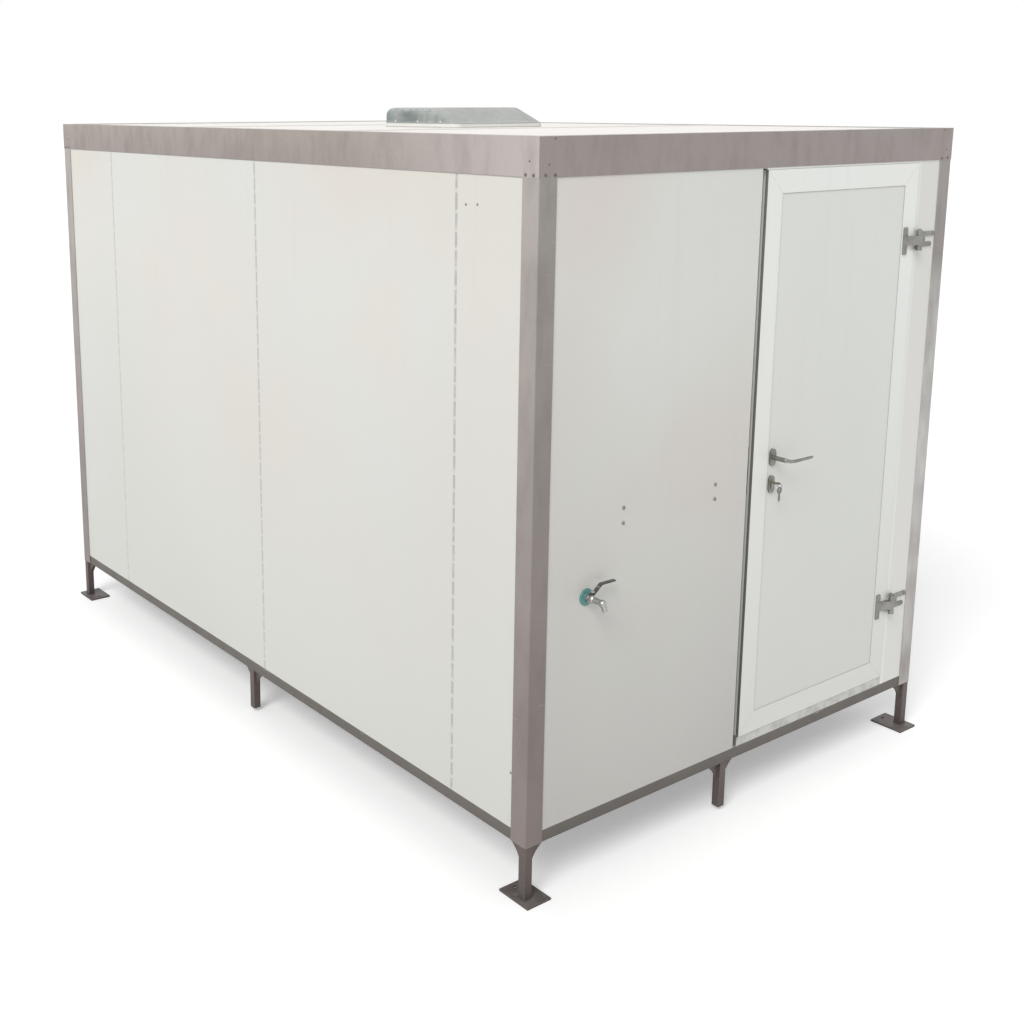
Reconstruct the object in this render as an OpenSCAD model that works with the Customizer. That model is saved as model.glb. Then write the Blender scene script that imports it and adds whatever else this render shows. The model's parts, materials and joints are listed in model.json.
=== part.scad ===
// Sanitary container: a prefabricated washroom cabin of sandwich panels in a steel frame on legs,
// with a rooflight, an outside tap and a lockable door, and a washbasin and a toilet inside.
// Sizes are in millimetres. The origin is on the ground, at the centre of the four anchor holes.
// The door is in the front, which faces -Y.

/* [Frame] */
// Width of the cabin over its corner posts
frame_w = 2080; // [1900:10:2400]
// Length of the cabin over its corner posts
frame_l = 3360; // [3100:10:4000]
// Height from the underside of the base rails to the top of the fascia
frame_h = 2200; // [2100:10:2500]
// Clear height of the legs, from the ground to the base rails
leg_h = 190; // [120:5:300]
// Side of the square base rail tube
rail = 40; // [40:1:60]
// Wall thickness of the frame tubes
tube_wall = 3; // [2:0.5:4]
// Width of each leaf of the folded corner post
post_w = 70; // [60:1:90]
// Thickness of the folded sheet of posts and fascias
sheet_t = 3; // [2:0.5:4]
// Outer fold radius of the corner posts
fold_r = 5; // [4:0.5:8]
// Height of the fascia around the roof
fascia_h = 116; // [105:1:150]
// Depth of the fascia's lower flange, which carries the roof
fascia_ledge = 60; // [56:1:80]
// Depth of the fascia's upper lip, which holds the roof panels down
fascia_lip = 25; // [15:1:40]

/* [Legs] */
// Side of the square leg tube
leg = 30; // [25:1:35]
// Distance from the cabin's outer faces to the middle of a corner leg
leg_inset = 18; // [18:1:24]
// Length of a foot plate across the cabin
foot_w = 100; // [90:1:120]
// Length of a foot plate along the cabin
foot_l = 135; // [130:1:150]
// Thickness of a foot plate
foot_t = 8; // [5:1:12]
// Diameter of the anchor hole in a foot plate
anchor_d = 14; // [10:1:16]
// Distance from the middle of a corner leg to its anchor hole
anchor_pitch = 64; // [60:1:68]
// Length of a gusset along the rail and down the leg
gusset = 58; // [40:1:70]
// Thickness of a gusset
gusset_t = 6; // [4:1:8]
// Distance from the left face to the middle legs of the front and back
mid_leg_x = 950; // [800:10:1050]
// Distance from the front to the middle legs of the sides
mid_leg_y = 1690; // [1500:10:1800]
// Distance of the middle legs' ends from the ground
mid_leg_up = 15; // [0:1:40]

/* [Panels] */
// Thickness of the wall panels
panel_t = 50; // [45:1:52]
// Gap between neighbouring panels
joint_gap = 2; // [1.5:0.1:3]
// Distance from the front to the first joint of a side wall
side_first = 371; // [250:1:500]
// Width of the second panel of a side wall
side_second = 1204; // [1000:1:1250]
// Width of the third panel of a side wall
side_third = 1263; // [1000:1:1300]
// Thickness of the floor panel
floor_t = 40; // [30:1:50]
// Thickness of the roof panels
roof_t = 50; // [40:1:60]
// Number of joists under the floor
joists = 3; // [2:1:5]
// Width of a roof joist
roof_joist_w = 40; // [30:1:60]

/* [Rooflight] */
// Distance from the front to the middle of the rooflight
rooflight_y = 1600; // [1500:10:1800]
// Side of the square rooflight opening
light_open = 400; // [350:5:450]
// Outer side of the rooflight
light_w = 484; // [460:1:560]
// Height of the curb over the roof panels
curb_h = 16; // [10:1:60]
// Height of the cover over the curb
dome_h = 63; // [56:1:120]
// Run of the cover's sloping front
dome_slope = 118; // [80:1:180]
// Radius of the cover's rounded shoulders
dome_r = 38; // [20:1:40]
// Thickness of the cover
dome_t = 4; // [3:0.5:6]

/* [Door] */
// Distance from the right face to the hinge edge of the door leaf
door_right = 205; // [190:1:260]
// Width of the door leaf
leaf_w = 858; // [750:1:900]
// Thickness of the door leaf
leaf_t = 44; // [40:1:46]
// Visible width of the white profile around the leaf
leaf_edge = 78; // [60:1:90]
// Height of the leaf's underside over the base rails' underside
leaf_z = 75; // [72:1:110]
// Depth of the recessed field of the leaf behind its white profile
field_recess = 2; // [1:0.5:5]
// Running gap between the leaf and the frame profile at its latch side
latch_gap = 6; // [5:0.5:10]
// Width of the frame profile along the latch side
jamb_w = 20; // [16:1:22]
// Running gap around the leaf
door_gap = 3; // [2.5:0.5:5]
// Thickness of the stop behind the leaf
stop_t = 5; // [4:0.5:6]
// Overlap of the stop and the leaf
stop_lap = 18; // [12:1:25]

/* [Hinges] */
// Height of the upper hinge over the base rails' underside
hinge_top_z = 1795; // [1600:5:1900]
// Height of the lower hinge over the base rails' underside
hinge_low_z = 378; // [250:5:600]
// Distance from the leaf's edge to the hinge pin
pin_side = 10; // [8:1:14]
// Distance of the hinge pin in front of the leaf
pin_out = 16; // [14:1:22]
// Diameter of the hinge pin
pin_d = 10; // [8:0.5:11]
// Outer diameter of the hinge knuckle
knuckle_d = 20; // [17:0.5:24]
// Height of the hinge knuckle on the leaf
knuckle_h = 40; // [34:1:46]
// Height of the hinge's plate on the leaf
strap_h = 100; // [80:1:120]
// Thickness of the hinge plates
hinge_t = 4; // [3:0.5:5]
// Radial running clearance of every pin and spindle
run_gap = 0.05; // [0.03:0.01:0.08]

/* [Lock] */
// Height of the handle spindle over the base rails' underside
handle_z = 1090; // [950:5:1150]
// Distance from the leaf's latch edge to the spindle
backset = 101; // [92:1:110]
// Distance from the spindle down to the keyhole
lock_pitch = 88; // [82:1:92]
// Length of a lever handle, from the spindle to its end
lever_l = 152; // [110:1:160]
// Distance of the lever from the leaf's face
lever_out = 58; // [44:1:64]
// Thickness of the lever's grip
lever_t = 11; // [8:1:14]
// Height of the oval escutcheons
rose_h = 62; // [56:1:66]
// Width of the oval escutcheons
rose_w = 30; // [28:1:34]
// Thickness of the oval escutcheons
rose_t = 7; // [5:1:9]
// Travel of the latch bolt
latch_throw = 11; // [8:1:12]
// Travel of the deadbolt
bolt_throw = 18; // [14:1:20]

/* [Outside tap] */
// Distance from the left face to the tap
tap_x = 237; // [180:5:400]
// Height of the tap over the base rails' underside
tap_z = 781; // [600:5:900]
// Diameter of the tap's wall flange
tap_flange_d = 56; // [45:1:70]
// Reach of the tap from its flange to the middle of its spout
tap_reach = 72; // [66:1:100]
// Length of the tap's lever
tap_lever_l = 95; // [70:1:110]

/* [Washroom] */
// Distance from the door opening to the middle of the washbasin
basin_side = 381; // [340:5:420]
// Width of the washbasin
basin_w = 500; // [450:5:560]
// Depth of the washbasin
basin_d = 400; // [350:5:450]
// Height of the washbasin's rim over the floor
basin_rim = 960; // [850:5:1000]
// Distance between the two washbasin brackets
bracket_pitch = 436; // [380:1:440]
// Distance from the left face to the middle of the toilet
wc_x = 560; // [450:5:800]
// Height of the toilet pan
pan_h = 400; // [380:5:430]
// Length of the toilet pan, its cistern included
pan_l = 660; // [620:5:700]
// Width of the toilet pan
pan_w = 360; // [340:5:380]
// Diameter of the soil pipe
soil_d = 110; // [90:1:125]
// Diameter of the water pipe
pipe_d = 20; // [15:1:22]

/* [Hidden] */
$fn = 48;
hull_fn = 32;
// Heights over the underside of the base rails
post_h = frame_h - fascia_h;
floor_z = rail + floor_t;
roof_z = frame_h - sheet_t - roof_t;
// Width of a gusset's tips
gusset_nose = 5;
// Distances from the outer faces
panel_in = sheet_t + panel_t;
back_in = frame_l - panel_in;
right_in = frame_w - panel_in;
// Middle of a foot plate and its anchor hole
foot_x = leg_inset + 17;
anchor_y = leg_inset + anchor_pitch;
// Door opening
leaf_x1 = frame_w - door_right;
leaf_x0 = leaf_x1 - leaf_w;
head_t = 5;
leaf_top = post_h - head_t - door_gap;
latch_x1 = leaf_x0 - latch_gap;
latch_x0 = latch_x1 - jamb_w;
hinge_x0 = leaf_x1 + door_gap;
hinge_x1 = hinge_x0 + jamb_w;
seal_space = 4;
seal_clear = 0.4;
stop_y = leaf_t + seal_space;
frame_in = stop_y + stop_t;
front_in = max(panel_in, frame_in);
groove_y = 20;
// Hinges
pin_x = leaf_x1 + pin_side;
pin_y = -pin_out;
hinge_gap = 0.4;
hinge_zs = [hinge_top_z, hinge_low_z];
ear_h = 17;
strap_w = 25;
strap_x = leaf_x1 - 70;
// Lock
lock_x = leaf_x0 + backset;
lock_y = 30;
keyhole_z = handle_z - lock_pitch;
case_t = 18;
case_back = 26;
latch_z = handle_z + 14;
latch_h = 28;
latch_t = 11;
bolt_z = handle_z - 46;
bolt_h = 32;
bolt_t = 12;
slide_gap = 0.4;
case_z0 = keyhole_z - 34;
case_z1 = latch_z + 34;
neck_r = 8;
spindle_w = 8;
plug_r = 6.5;
cylinder_r = 8.5;
cylinder_w = 10;
cylinder_drop = 19.5;
cylinder_out = 3;
cam_r = 13;
cam_t = 8;
bow_r = 12;
bow_hole_r = 4.4;
bow_rim = 3;
key_t = 2.4;
blade_w = 8;
blade_l = 28;
wire_r = 0.9;
ring_r = 9;
ring_drop = 5.5;
strike_t = 2;
strike_w = 22;
// Rooflight
light_x = frame_w / 2;
curb_z = frame_h - sheet_t;
// Outside tap
tap_stem = 28;
tap_boss = 15;
tap_shank_r = 10.5;
tap_body_r = 10;
tap_bore_r = 5;
tap_flange_t = 9;
tap_spout = 27;
spout_tilt = 30;
tap_hub_h = 8;
tap_pin_r = 4;
// Washroom
basin_x = latch_x0 - basin_side;
rim_z = floor_z + basin_rim;
basin_gap = 6;
basin_flange = 40;
basin_deep = 150;
basin_wall = 20;
basin_ledge = 80;
basin_front = 30;
bowl_d = basin_d - basin_ledge - basin_front;
bowl_mid = basin_gap + basin_ledge + bowl_d / 2;
bowl_side = 55;
bowl_r = 80;
bracket_t = 5;
bracket_w = 24;
bracket_h = 92;
bracket_end = 60;
column_h = 55;
waste_y = 60;
waste_r = 16;
soil_y = 260;
tap_back = 50;
pipe_y = panel_in + tap_back;
pipe_r = pipe_d / 2;
pipe_low = floor_z + 60;
pipe_side = panel_in + 40;
pipe_back = back_in - 80;
shank_low = 120;
pipe_end = -60;
collar = 3;
collar_z = rail - 10;
cistern_w = 380;
cistern_d = 165;
cistern_h = 360;
cistern_wall = 12;
cistern_in = 120;
wall_gap = 5;
cistern_y = wall_gap + cistern_d / 2;
rim_y = pan_l - pan_w / 2;
rim_band = 20;
seat_hinge = 208;
seat_hinge_z = pan_h + 18;
seat_t = 20;
seat_z = pan_h + 5;
seat_bar_r = 7;
seat_post_x = 88;
seat_post_w = 20;
seat_post_r = 13;
button_r = 19;
button_gap = 0.4;
button_up = 3;
joint_clear = 0.3;

// Colours of the real materials
steel = [0.60, 0.56, 0.53];
dark_steel = [0.30, 0.28, 0.27];
panel_white = [0.88, 0.88, 0.86];
profile_white = [0.93, 0.93, 0.91];
field_grey = [0.83, 0.84, 0.82];
satin = [0.60, 0.60, 0.59];
rubber = [0.16, 0.16, 0.16];
acrylic = [0.62, 0.68, 0.66, 0.6];
turquoise = [0.36, 0.55, 0.53];
ceramic = [0.95, 0.95, 0.94];
brass = [0.72, 0.62, 0.35];

// Puts what is measured from the outer front left corner, at the underside of the base rails,
// into the frame of the whole cabin.
module from_corner() {
    translate([-frame_w / 2, -frame_l / 2, leg_h]) children();
}

// Box given by its limits along X, Y and Z.
module block(x, y, z) {
    translate([x[0], y[0], z[0]]) cube([x[1] - x[0], y[1] - y[0], z[1] - z[0]]);
}

// Round bar from one point to another along a single axis.
module bar(from, to, r) {
    run = to - from;
    turn = run.x != 0 ? [0, 90, 0] : run.y != 0 ? [-90, 0, 0] : [0, 0, 0];
    start = [min(from.x, to.x), min(from.y, to.y), min(from.z, to.z)];
    translate(start) rotate(turn) cylinder(r = r, h = abs(run.x) + abs(run.y) + abs(run.z));
}

// Copies children to the other side of the cabin, given as +1 or -1 along X and Y.
module to_corner(sx, sy) {
    translate([sx < 0 ? 0 : frame_w, sy < 0 ? 0 : frame_l, 0])
        mirror([sx < 0 ? 0 : 1, 0, 0]) mirror([0, sy < 0 ? 0 : 1, 0]) children();
}

// Rectangle with rounded corners, centred on the origin.
module rounded_rect(w, d, r) {
    square([w, d - 2 * r], center = true);
    square([w - 2 * r, d], center = true);
    for (x = [-1, 1], y = [-1, 1]) translate([x * (w / 2 - r), y * (d / 2 - r)]) circle(r = r);
}

// Hollow square tube along X.
module tube_x(length, w, h, wall) {
    rotate([90, 0, 90]) linear_extrude(length) difference() {
        square([w, h]);
        translate([wall, wall]) square([w - 2 * wall, h - 2 * wall]);
    }
}

// Hollow square tube along Y.
module tube_y(length, w, h, wall) {
    translate([w, 0, 0]) rotate(90) tube_x(length, w, h, wall);
}

/* Base frame */

module base_rail_front() {
    color(dark_steel) from_corner()
        translate([sheet_t + rail, sheet_t, 0])
            tube_x(frame_w - 2 * (sheet_t + rail), rail, rail, tube_wall);
}

module base_rail_back() {
    color(dark_steel) from_corner()
        translate([sheet_t + rail, frame_l - sheet_t - rail, 0])
            tube_x(frame_w - 2 * (sheet_t + rail), rail, rail, tube_wall);
}

module base_rail_left() {
    color(dark_steel) from_corner()
        translate([sheet_t, sheet_t, 0]) tube_y(frame_l - 2 * sheet_t, rail, rail, tube_wall);
}

module base_rail_right() {
    color(dark_steel) from_corner()
        translate([frame_w - sheet_t - rail, sheet_t, 0])
            tube_y(frame_l - 2 * sheet_t, rail, rail, tube_wall);
}

module floor_joists() {
    color(dark_steel) from_corner()
        for (i = [1:joists])
            translate([sheet_t + rail, frame_l * i / (joists + 1) - rail / 2, 0])
                tube_x(frame_w - 2 * (sheet_t + rail), rail, rail, tube_wall);
}

// Square tube with a drilled foot plate and two gussets under the rails.
module corner_leg() {
    difference() {
        union() {
            block([leg_inset - leg / 2, leg_inset + leg / 2],
                  [leg_inset - leg / 2, leg_inset + leg / 2], [-leg_h, 0]);
            block([foot_x - foot_w / 2, foot_x + foot_w / 2],
                  [leg_inset - foot_w / 2, leg_inset - foot_w / 2 + foot_l], [-leg_h, foot_t - leg_h]);
            translate([leg_inset, leg_inset + gusset_t / 2, 0]) gusset_plate();
            translate([leg_inset - gusset_t / 2, leg_inset, 0]) rotate(90) gusset_plate();
        }
        block([leg_inset - leg / 2 + tube_wall, leg_inset + leg / 2 - tube_wall],
              [leg_inset - leg / 2 + tube_wall, leg_inset + leg / 2 - tube_wall],
              [foot_t - leg_h, 1]);
        translate([foot_x, anchor_y, -leg_h - 1]) cylinder(d = anchor_d, h = foot_t + 2);
    }
}

// Plate whose free edge curves from the leg up to the rail.
module gusset_plate() {
    inside = 1;
    rotate([90, 0, 0]) linear_extrude(gusset_t) translate([leg / 2 - inside, 0]) difference() {
        translate([0, -gusset]) square([gusset + inside, gusset]);
        translate([gusset + inside, -gusset]) circle(r = gusset - gusset_nose);
    }
}

module corner_legs() {
    color(dark_steel) from_corner()
        for (sx = [-1, 1], sy = [-1, 1]) to_corner(sx, sy) corner_leg();
}

// Plain square leg with two gussets along its rail and a closing plate at its foot.
module mid_leg() {
    foot = mid_leg_up - leg_h;
    difference() {
        block([-leg / 2, leg / 2], [-leg / 2, leg / 2], [foot, 0]);
        block([-leg / 2 + tube_wall, leg / 2 - tube_wall],
              [-leg / 2 + tube_wall, leg / 2 - tube_wall], [foot + tube_wall, 1]);
    }
    translate([0, gusset_t / 2, 0]) gusset_plate();
    mirror([1, 0, 0]) translate([0, gusset_t / 2, 0]) gusset_plate();
}

module mid_legs() {
    rail_mid = sheet_t + rail / 2;
    color(dark_steel) from_corner() {
        translate([mid_leg_x, rail_mid, 0]) mid_leg();
        translate([mid_leg_x, frame_l - rail_mid, 0]) mid_leg();
        translate([rail_mid, mid_leg_y, 0]) rotate(90) mid_leg();
        translate([frame_w - rail_mid, mid_leg_y, 0]) rotate(90) mid_leg();
    }
}

/* Posts and roof frame */

// Angle of folded sheet with a rounded outer fold, as a plan.
module folded_angle(w, t, r) {
    difference() {
        union() {
            translate([r, 0]) square([w - r, w]);
            translate([0, r]) square([w, w - r]);
            translate([r, r]) circle(r = r);
        }
        translate([t, t]) square(w);
    }
}

module corner_post(sx, sy) {
    color(steel) from_corner()
        to_corner(sx, sy) linear_extrude(post_h) folded_angle(post_w, sheet_t, fold_r);
}

module corner_post_front_left() { corner_post(-1, -1); }

module corner_post_front_right() { corner_post(1, -1); }

module corner_post_back_left() { corner_post(-1, 1); }

module corner_post_back_right() { corner_post(1, 1); }

// Channel of folded sheet, open inwards, mitred at both ends.
module fascia(length) {
    mitre = fascia_ledge;
    intersection() {
        rotate([90, 0, 90]) linear_extrude(length) {
            square([sheet_t, fascia_h]);
            square([fascia_ledge, sheet_t]);
            translate([0, fascia_h - sheet_t]) square([fascia_lip, sheet_t]);
        }
        translate([0, 0, -1]) linear_extrude(fascia_h + 2)
            polygon([[joint_clear, 0], [length - joint_clear, 0],
                     [length - mitre - joint_clear, mitre], [mitre + joint_clear, mitre]]);
    }
}

module fascia_front() {
    color(steel) from_corner() translate([0, 0, post_h]) fascia(frame_w);
}

module fascia_back() {
    color(steel) from_corner() translate([frame_w, frame_l, post_h]) rotate(180) fascia(frame_w);
}

module fascia_left() {
    color(steel) from_corner() translate([0, frame_l, post_h]) rotate(-90) fascia(frame_l);
}

module fascia_right() {
    color(steel) from_corner() translate([frame_w, 0, post_h]) rotate(90) fascia(frame_l);
}

// Tubes that lie on the fascias' ledges: two beside the rooflight and one towards each end.
module roof_joists() {
    trim = light_open / 2 + roof_joist_w / 2;
    middles = [(rooflight_y - trim) / 2, rooflight_y - trim,
               rooflight_y + trim, (frame_l + rooflight_y + trim) / 2];
    color(steel) from_corner()
        for (y = middles)
            translate([sheet_t, y - roof_joist_w / 2, post_h + sheet_t])
                tube_x(frame_w - 2 * sheet_t, roof_joist_w, roof_z - post_h - sheet_t, tube_wall);
}

// Three panels across the roof. The middle one has the rooflight's square opening.
module roof_panels() {
    panel_l = (frame_l - 2 * sheet_t) / 3;
    color(panel_white) from_corner() difference() {
        for (i = [0:2])
            block([sheet_t, frame_w - sheet_t],
                  [sheet_t + i * panel_l + (i > 0 ? joint_gap / 2 : 0),
                   sheet_t + (i + 1) * panel_l - (i < 2 ? joint_gap / 2 : 0)],
                  [roof_z, roof_z + roof_t]);
        translate([light_x, rooflight_y, roof_z + roof_t / 2])
            cube([light_open, light_open, roof_t + 2], center = true);
    }
}

module rooflight_curb() {
    color(profile_white) from_corner() translate([light_x, rooflight_y, curb_z])
        linear_extrude(curb_h) difference() {
            rounded_rect(light_w, light_w, dome_r);
            square(light_open, center = true);
        }
}

// Outer or inner form of the rooflight's cover: a low hood with a sloping front,
// made smaller on every side by the given skin.
module hood(skin) {
    r = dome_r - skin;
    half = light_w / 2 - dome_r;
    flat = min(1, dome_h / 2 / dome_r);
    hull() {
        linear_extrude(0.01) rounded_rect(light_w - 2 * skin, light_w - 2 * skin, r);
        for (x = [-half, half], y = [dome_slope - light_w / 2 + dome_r, half])
            translate([x, y, dome_h - flat * dome_r]) scale([1, 1, flat])
                sphere(r = r, $fn = hull_fn);
    }
}

module rooflight_cover() {
    color(acrylic) from_corner() translate([light_x, rooflight_y, curb_z + curb_h])
        difference() {
            hood(0);
            translate([0, 0, -0.01]) hood(dome_t);
        }
}

/* Floor and walls */

module floor_panel() {
    color(field_grey) from_corner() difference() {
        block([panel_in, right_in], [front_in, back_in], [rail, floor_z]);
        for (pipe = [[tap_x, pipe_y, pipe_r], [wc_x, back_in - soil_y, soil_d / 2],
                     [basin_x, panel_in + waste_y, waste_r]])
            translate([pipe.x, pipe.y, 0]) cylinder(r = pipe.z + collar + joint_clear, h = 2 * floor_z);
    }
}

// The panels of one side wall, in four widths from front to back.
module side_wall() {
    joints = [sheet_t, side_first, side_first + side_second,
              side_first + side_second + side_third, frame_l - sheet_t];
    for (i = [0:3])
        block([sheet_t, panel_in],
              [joints[i] + (i > 0 ? joint_gap / 2 : 0), joints[i + 1] - (i < 3 ? joint_gap / 2 : 0)],
              [rail, post_h]);
}

module wall_panels_left() {
    color(panel_white) from_corner() side_wall();
}

module wall_panels_right() {
    color(panel_white) from_corner() translate([frame_w, 0, 0]) mirror([1, 0, 0]) side_wall();
}

module wall_panels_back() {
    middle = frame_w / 2;
    color(panel_white) from_corner() {
        block([panel_in, middle - joint_gap / 2], [back_in, frame_l - sheet_t], [rail, post_h]);
        block([middle + joint_gap / 2, right_in], [back_in, frame_l - sheet_t], [rail, post_h]);
    }
}

// The wide panel with the outside tap, and the strip beside the hinges.
module wall_panels_front() {
    color(panel_white) from_corner() {
        difference() {
            block([panel_in, latch_x0], [sheet_t, panel_in], [rail, post_h]);
            translate([tap_x, 0, tap_z]) rotate([-90, 0, 0])
                cylinder(r = tap_shank_r + joint_clear, h = 2 * panel_in);
        }
        block([hinge_x1, right_in], [sheet_t, panel_in], [rail, post_h]);
    }
}

/* Door frame */

// Plain limits of the two lock openings in the frame, through the strike plate.
module lock_openings() {
    side = 1;
    block([leaf_x0 - latch_throw - 2, latch_x1 + side],
          [groove_y - side, lock_y + latch_t / 2 + side],
          [latch_z - latch_h / 2 - side, latch_z + latch_h / 2 + side]);
    block([leaf_x0 - bolt_throw - side, latch_x1 + side],
          [lock_y - bolt_t / 2 - side, lock_y + bolt_t / 2 + side],
          [bolt_z - bolt_h / 2 - side, bolt_z + bolt_h / 2 + side]);
}

module strike(grow) {
    block([latch_x1 - strike_t, latch_x1 + grow], [groove_y - grow, groove_y + strike_w],
          [bolt_z - bolt_h / 2 - 22, latch_z + latch_h / 2 + 22]);
}

module door_jamb_latch() {
    color(satin) from_corner() difference() {
        block([latch_x0, latch_x1], [groove_y, frame_in], [rail, post_h]);
        lock_openings();
        strike(1);
    }
}

module strike_plate() {
    color(satin) from_corner() difference() {
        strike(0);
        lock_openings();
    }
}

module door_jamb_hinge() {
    color(panel_white) from_corner()
        block([hinge_x0, hinge_x1], [sheet_t, frame_in], [rail, post_h]);
}

module door_head() {
    color(panel_white) from_corner()
        block([latch_x1, hinge_x0], [sheet_t, frame_in], [post_h - head_t, post_h]);
}

module door_sill() {
    color(satin) from_corner()
        block([latch_x1, hinge_x0], [sheet_t, front_in], [rail, leaf_z - door_gap]);
}

// Flat bars behind the leaf's edges: two between the sill and the head, and two between these.
module door_stops() {
    side_l = leaf_x0 + stop_lap;
    side_r = leaf_x1 - stop_lap;
    y = [stop_y, frame_in];
    z = [leaf_z - door_gap, post_h - head_t];
    color(panel_white) from_corner() {
        for (x = [[latch_x1, side_l], [side_r, hinge_x0]]) block(x, y, z);
        for (z = [[z[0], leaf_z + stop_lap], [leaf_top - stop_lap, z[1]]])
            block([side_l + joint_clear, side_r - joint_clear], y, z);
    }
}

// Rubber strips on the four stops, against the back of the leaf.
module door_seal() {
    edge = 3;
    y = [leaf_t + seal_clear, stop_y];
    color(rubber) from_corner() {
        for (x = [leaf_x0 + edge, leaf_x1 - stop_lap + edge])
            block([x, x + stop_lap - 2 * edge], y, [leaf_z + edge, leaf_top - edge]);
        for (z = [leaf_z + edge, leaf_top - stop_lap + edge])
            block([leaf_x0 + stop_lap, leaf_x1 - stop_lap], y, [z, z + stop_lap - 2 * edge]);
    }
}

/* Hinges */

// Outline of a hinge bracket on the cabin: a plate with a forked free end.
module bracket_outline(reach) {
    arm = 9;
    long = reach - arm;
    short = reach - arm - 16;
    half = knuckle_h / 2 - 1;
    translate([0, -half - arm]) square([reach * 0.45, 2 * (half + arm)]);
    translate([0, half - arm]) square([long, 2 * arm]);
    translate([long, half]) circle(r = arm);
    translate([0, -half - arm]) square([short, 2 * arm]);
    translate([short, -half]) circle(r = arm);
}

// Fixed halves of the two hinges: a forked plate on the cabin's wall strip, two ears and the pin.
module hinge_brackets() {
    plate_x = pin_x + knuckle_d / 2 + 2;
    reach = frame_w - post_w - 4 - plate_x;
    ear_z = knuckle_h / 2 + hinge_gap;
    color(satin) from_corner() for (hinge_z = hinge_zs) translate([0, 0, hinge_z]) {
        translate([plate_x, sheet_t, 0]) rotate([90, 0, 0]) linear_extrude(hinge_t)
            bracket_outline(reach);
        for (z = [ear_z, -ear_z - ear_h]) {
            translate([pin_x, pin_y, z]) cylinder(d = knuckle_d, h = ear_h);
            translate([0, 0, z]) linear_extrude(ear_h)
                polygon([[pin_x, pin_y - knuckle_d / 2], [pin_x + 6, pin_y - knuckle_d / 2],
                         [plate_x + 12, sheet_t - hinge_t], [plate_x + 12, sheet_t],
                         [plate_x, sheet_t], [pin_x + 2, pin_y + knuckle_d / 2 - 2]]);
        }
        translate([pin_x, pin_y, -ear_z - ear_h]) cylinder(d = pin_d, h = 2 * (ear_z + ear_h) + 3);
    }
}

// Moving halves of the two hinges: a tall plate on the leaf and an arm that ends in the knuckle.
module hinge_straps() {
    arm_h = knuckle_h - 6;
    color(satin) from_corner() for (hinge_z = hinge_zs) translate([0, 0, hinge_z]) difference() {
        union() {
            rotate([90, 0, 0]) linear_extrude(hinge_t)
                translate([strap_x + strap_w / 2, 0]) rounded_rect(strap_w, strap_h, 5);
            translate([0, 0, -arm_h / 2]) linear_extrude(arm_h)
                polygon([[strap_x + 6, 0], [leaf_x1 - 3, 0], [pin_x, pin_y + knuckle_d / 2 - 1],
                         [pin_x, pin_y - knuckle_d / 2 + 1], [pin_x - 14, pin_y - knuckle_d / 2 + 4],
                         [strap_x + strap_w, -hinge_t - 4], [strap_x + 6, -hinge_t]]);
            translate([pin_x, pin_y, -knuckle_h / 2]) cylinder(d = knuckle_d, h = knuckle_h);
        }
        translate([pin_x, pin_y, -knuckle_h]) cylinder(d = pin_d + 2 * run_gap, h = 2 * knuckle_h);
    }
}

/* Door leaf */

module lock_pocket() {
    block([leaf_x0 - 1, lock_x + case_back], [lock_y - case_t / 2, lock_y + case_t / 2],
          [case_z0, case_z1]);
}

// Profile of the lock cylinder, with its bore axis at the origin.
module cylinder_profile(grow) {
    circle(r = cylinder_r + grow);
    translate([-cylinder_w / 2 - grow, -cylinder_drop]) square([cylinder_w + 2 * grow, cylinder_drop]);
    translate([0, -cylinder_drop]) circle(r = cylinder_w / 2 + grow);
}

// Runs children, drawn flat, through the leaf from one Y to another at the height z.
module through_leaf(z, y) {
    translate([lock_x, y[1], z]) rotate([90, 0, 0]) linear_extrude(y[1] - y[0]) children();
}

module door_leaf_frame() {
    color(profile_white) from_corner() difference() {
        block([leaf_x0, leaf_x1], [0, leaf_t], [leaf_z, leaf_top]);
        block([leaf_x0 + leaf_edge, leaf_x1 - leaf_edge], [-1, leaf_t + 1],
              [leaf_z + leaf_edge, leaf_top - leaf_edge]);
        lock_pocket();
    }
}

module door_leaf_field() {
    color(field_grey) from_corner() difference() {
        block([leaf_x0 + leaf_edge, leaf_x1 - leaf_edge], [field_recess, leaf_t - field_recess],
              [leaf_z + leaf_edge, leaf_top - leaf_edge]);
        lock_pocket();
        through_leaf(handle_z, [-1, leaf_t + 1]) circle(r = neck_r + 1);
        through_leaf(keyhole_z, [-1, leaf_t + 1]) cylinder_profile(joint_clear);
    }
}

/* Lock and handles */

latch_tail = lock_x - neck_r - 2 - latch_throw;
bolt_tail = leaf_x0 + 52;

module lock_case() {
    inside = slide_gap;
    color(satin) from_corner() difference() {
        block([leaf_x0, lock_x + case_back], [lock_y - case_t / 2, lock_y + case_t / 2],
              [case_z0, case_z1]);
        block([leaf_x0 - 1, latch_tail + latch_throw + inside],
              [lock_y - latch_t / 2 - inside, lock_y + latch_t / 2 + inside],
              [latch_z - latch_h / 2 - inside, latch_z + latch_h / 2 + inside]);
        block([leaf_x0 - 1, bolt_tail + inside],
              [lock_y - bolt_t / 2 - inside, lock_y + bolt_t / 2 + inside],
              [bolt_z - bolt_h / 2 - inside, bolt_z + bolt_h / 2 + inside]);
        through_leaf(handle_z, [0, leaf_t]) circle(r = neck_r + run_gap);
        through_leaf(keyhole_z, [0, leaf_t]) cylinder_profile(joint_clear);
        through_leaf(keyhole_z, [lock_y - cam_t / 2 - 1, lock_y + cam_t / 2 + 1])
            circle(r = cam_r + 1);
    }
}

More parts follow.
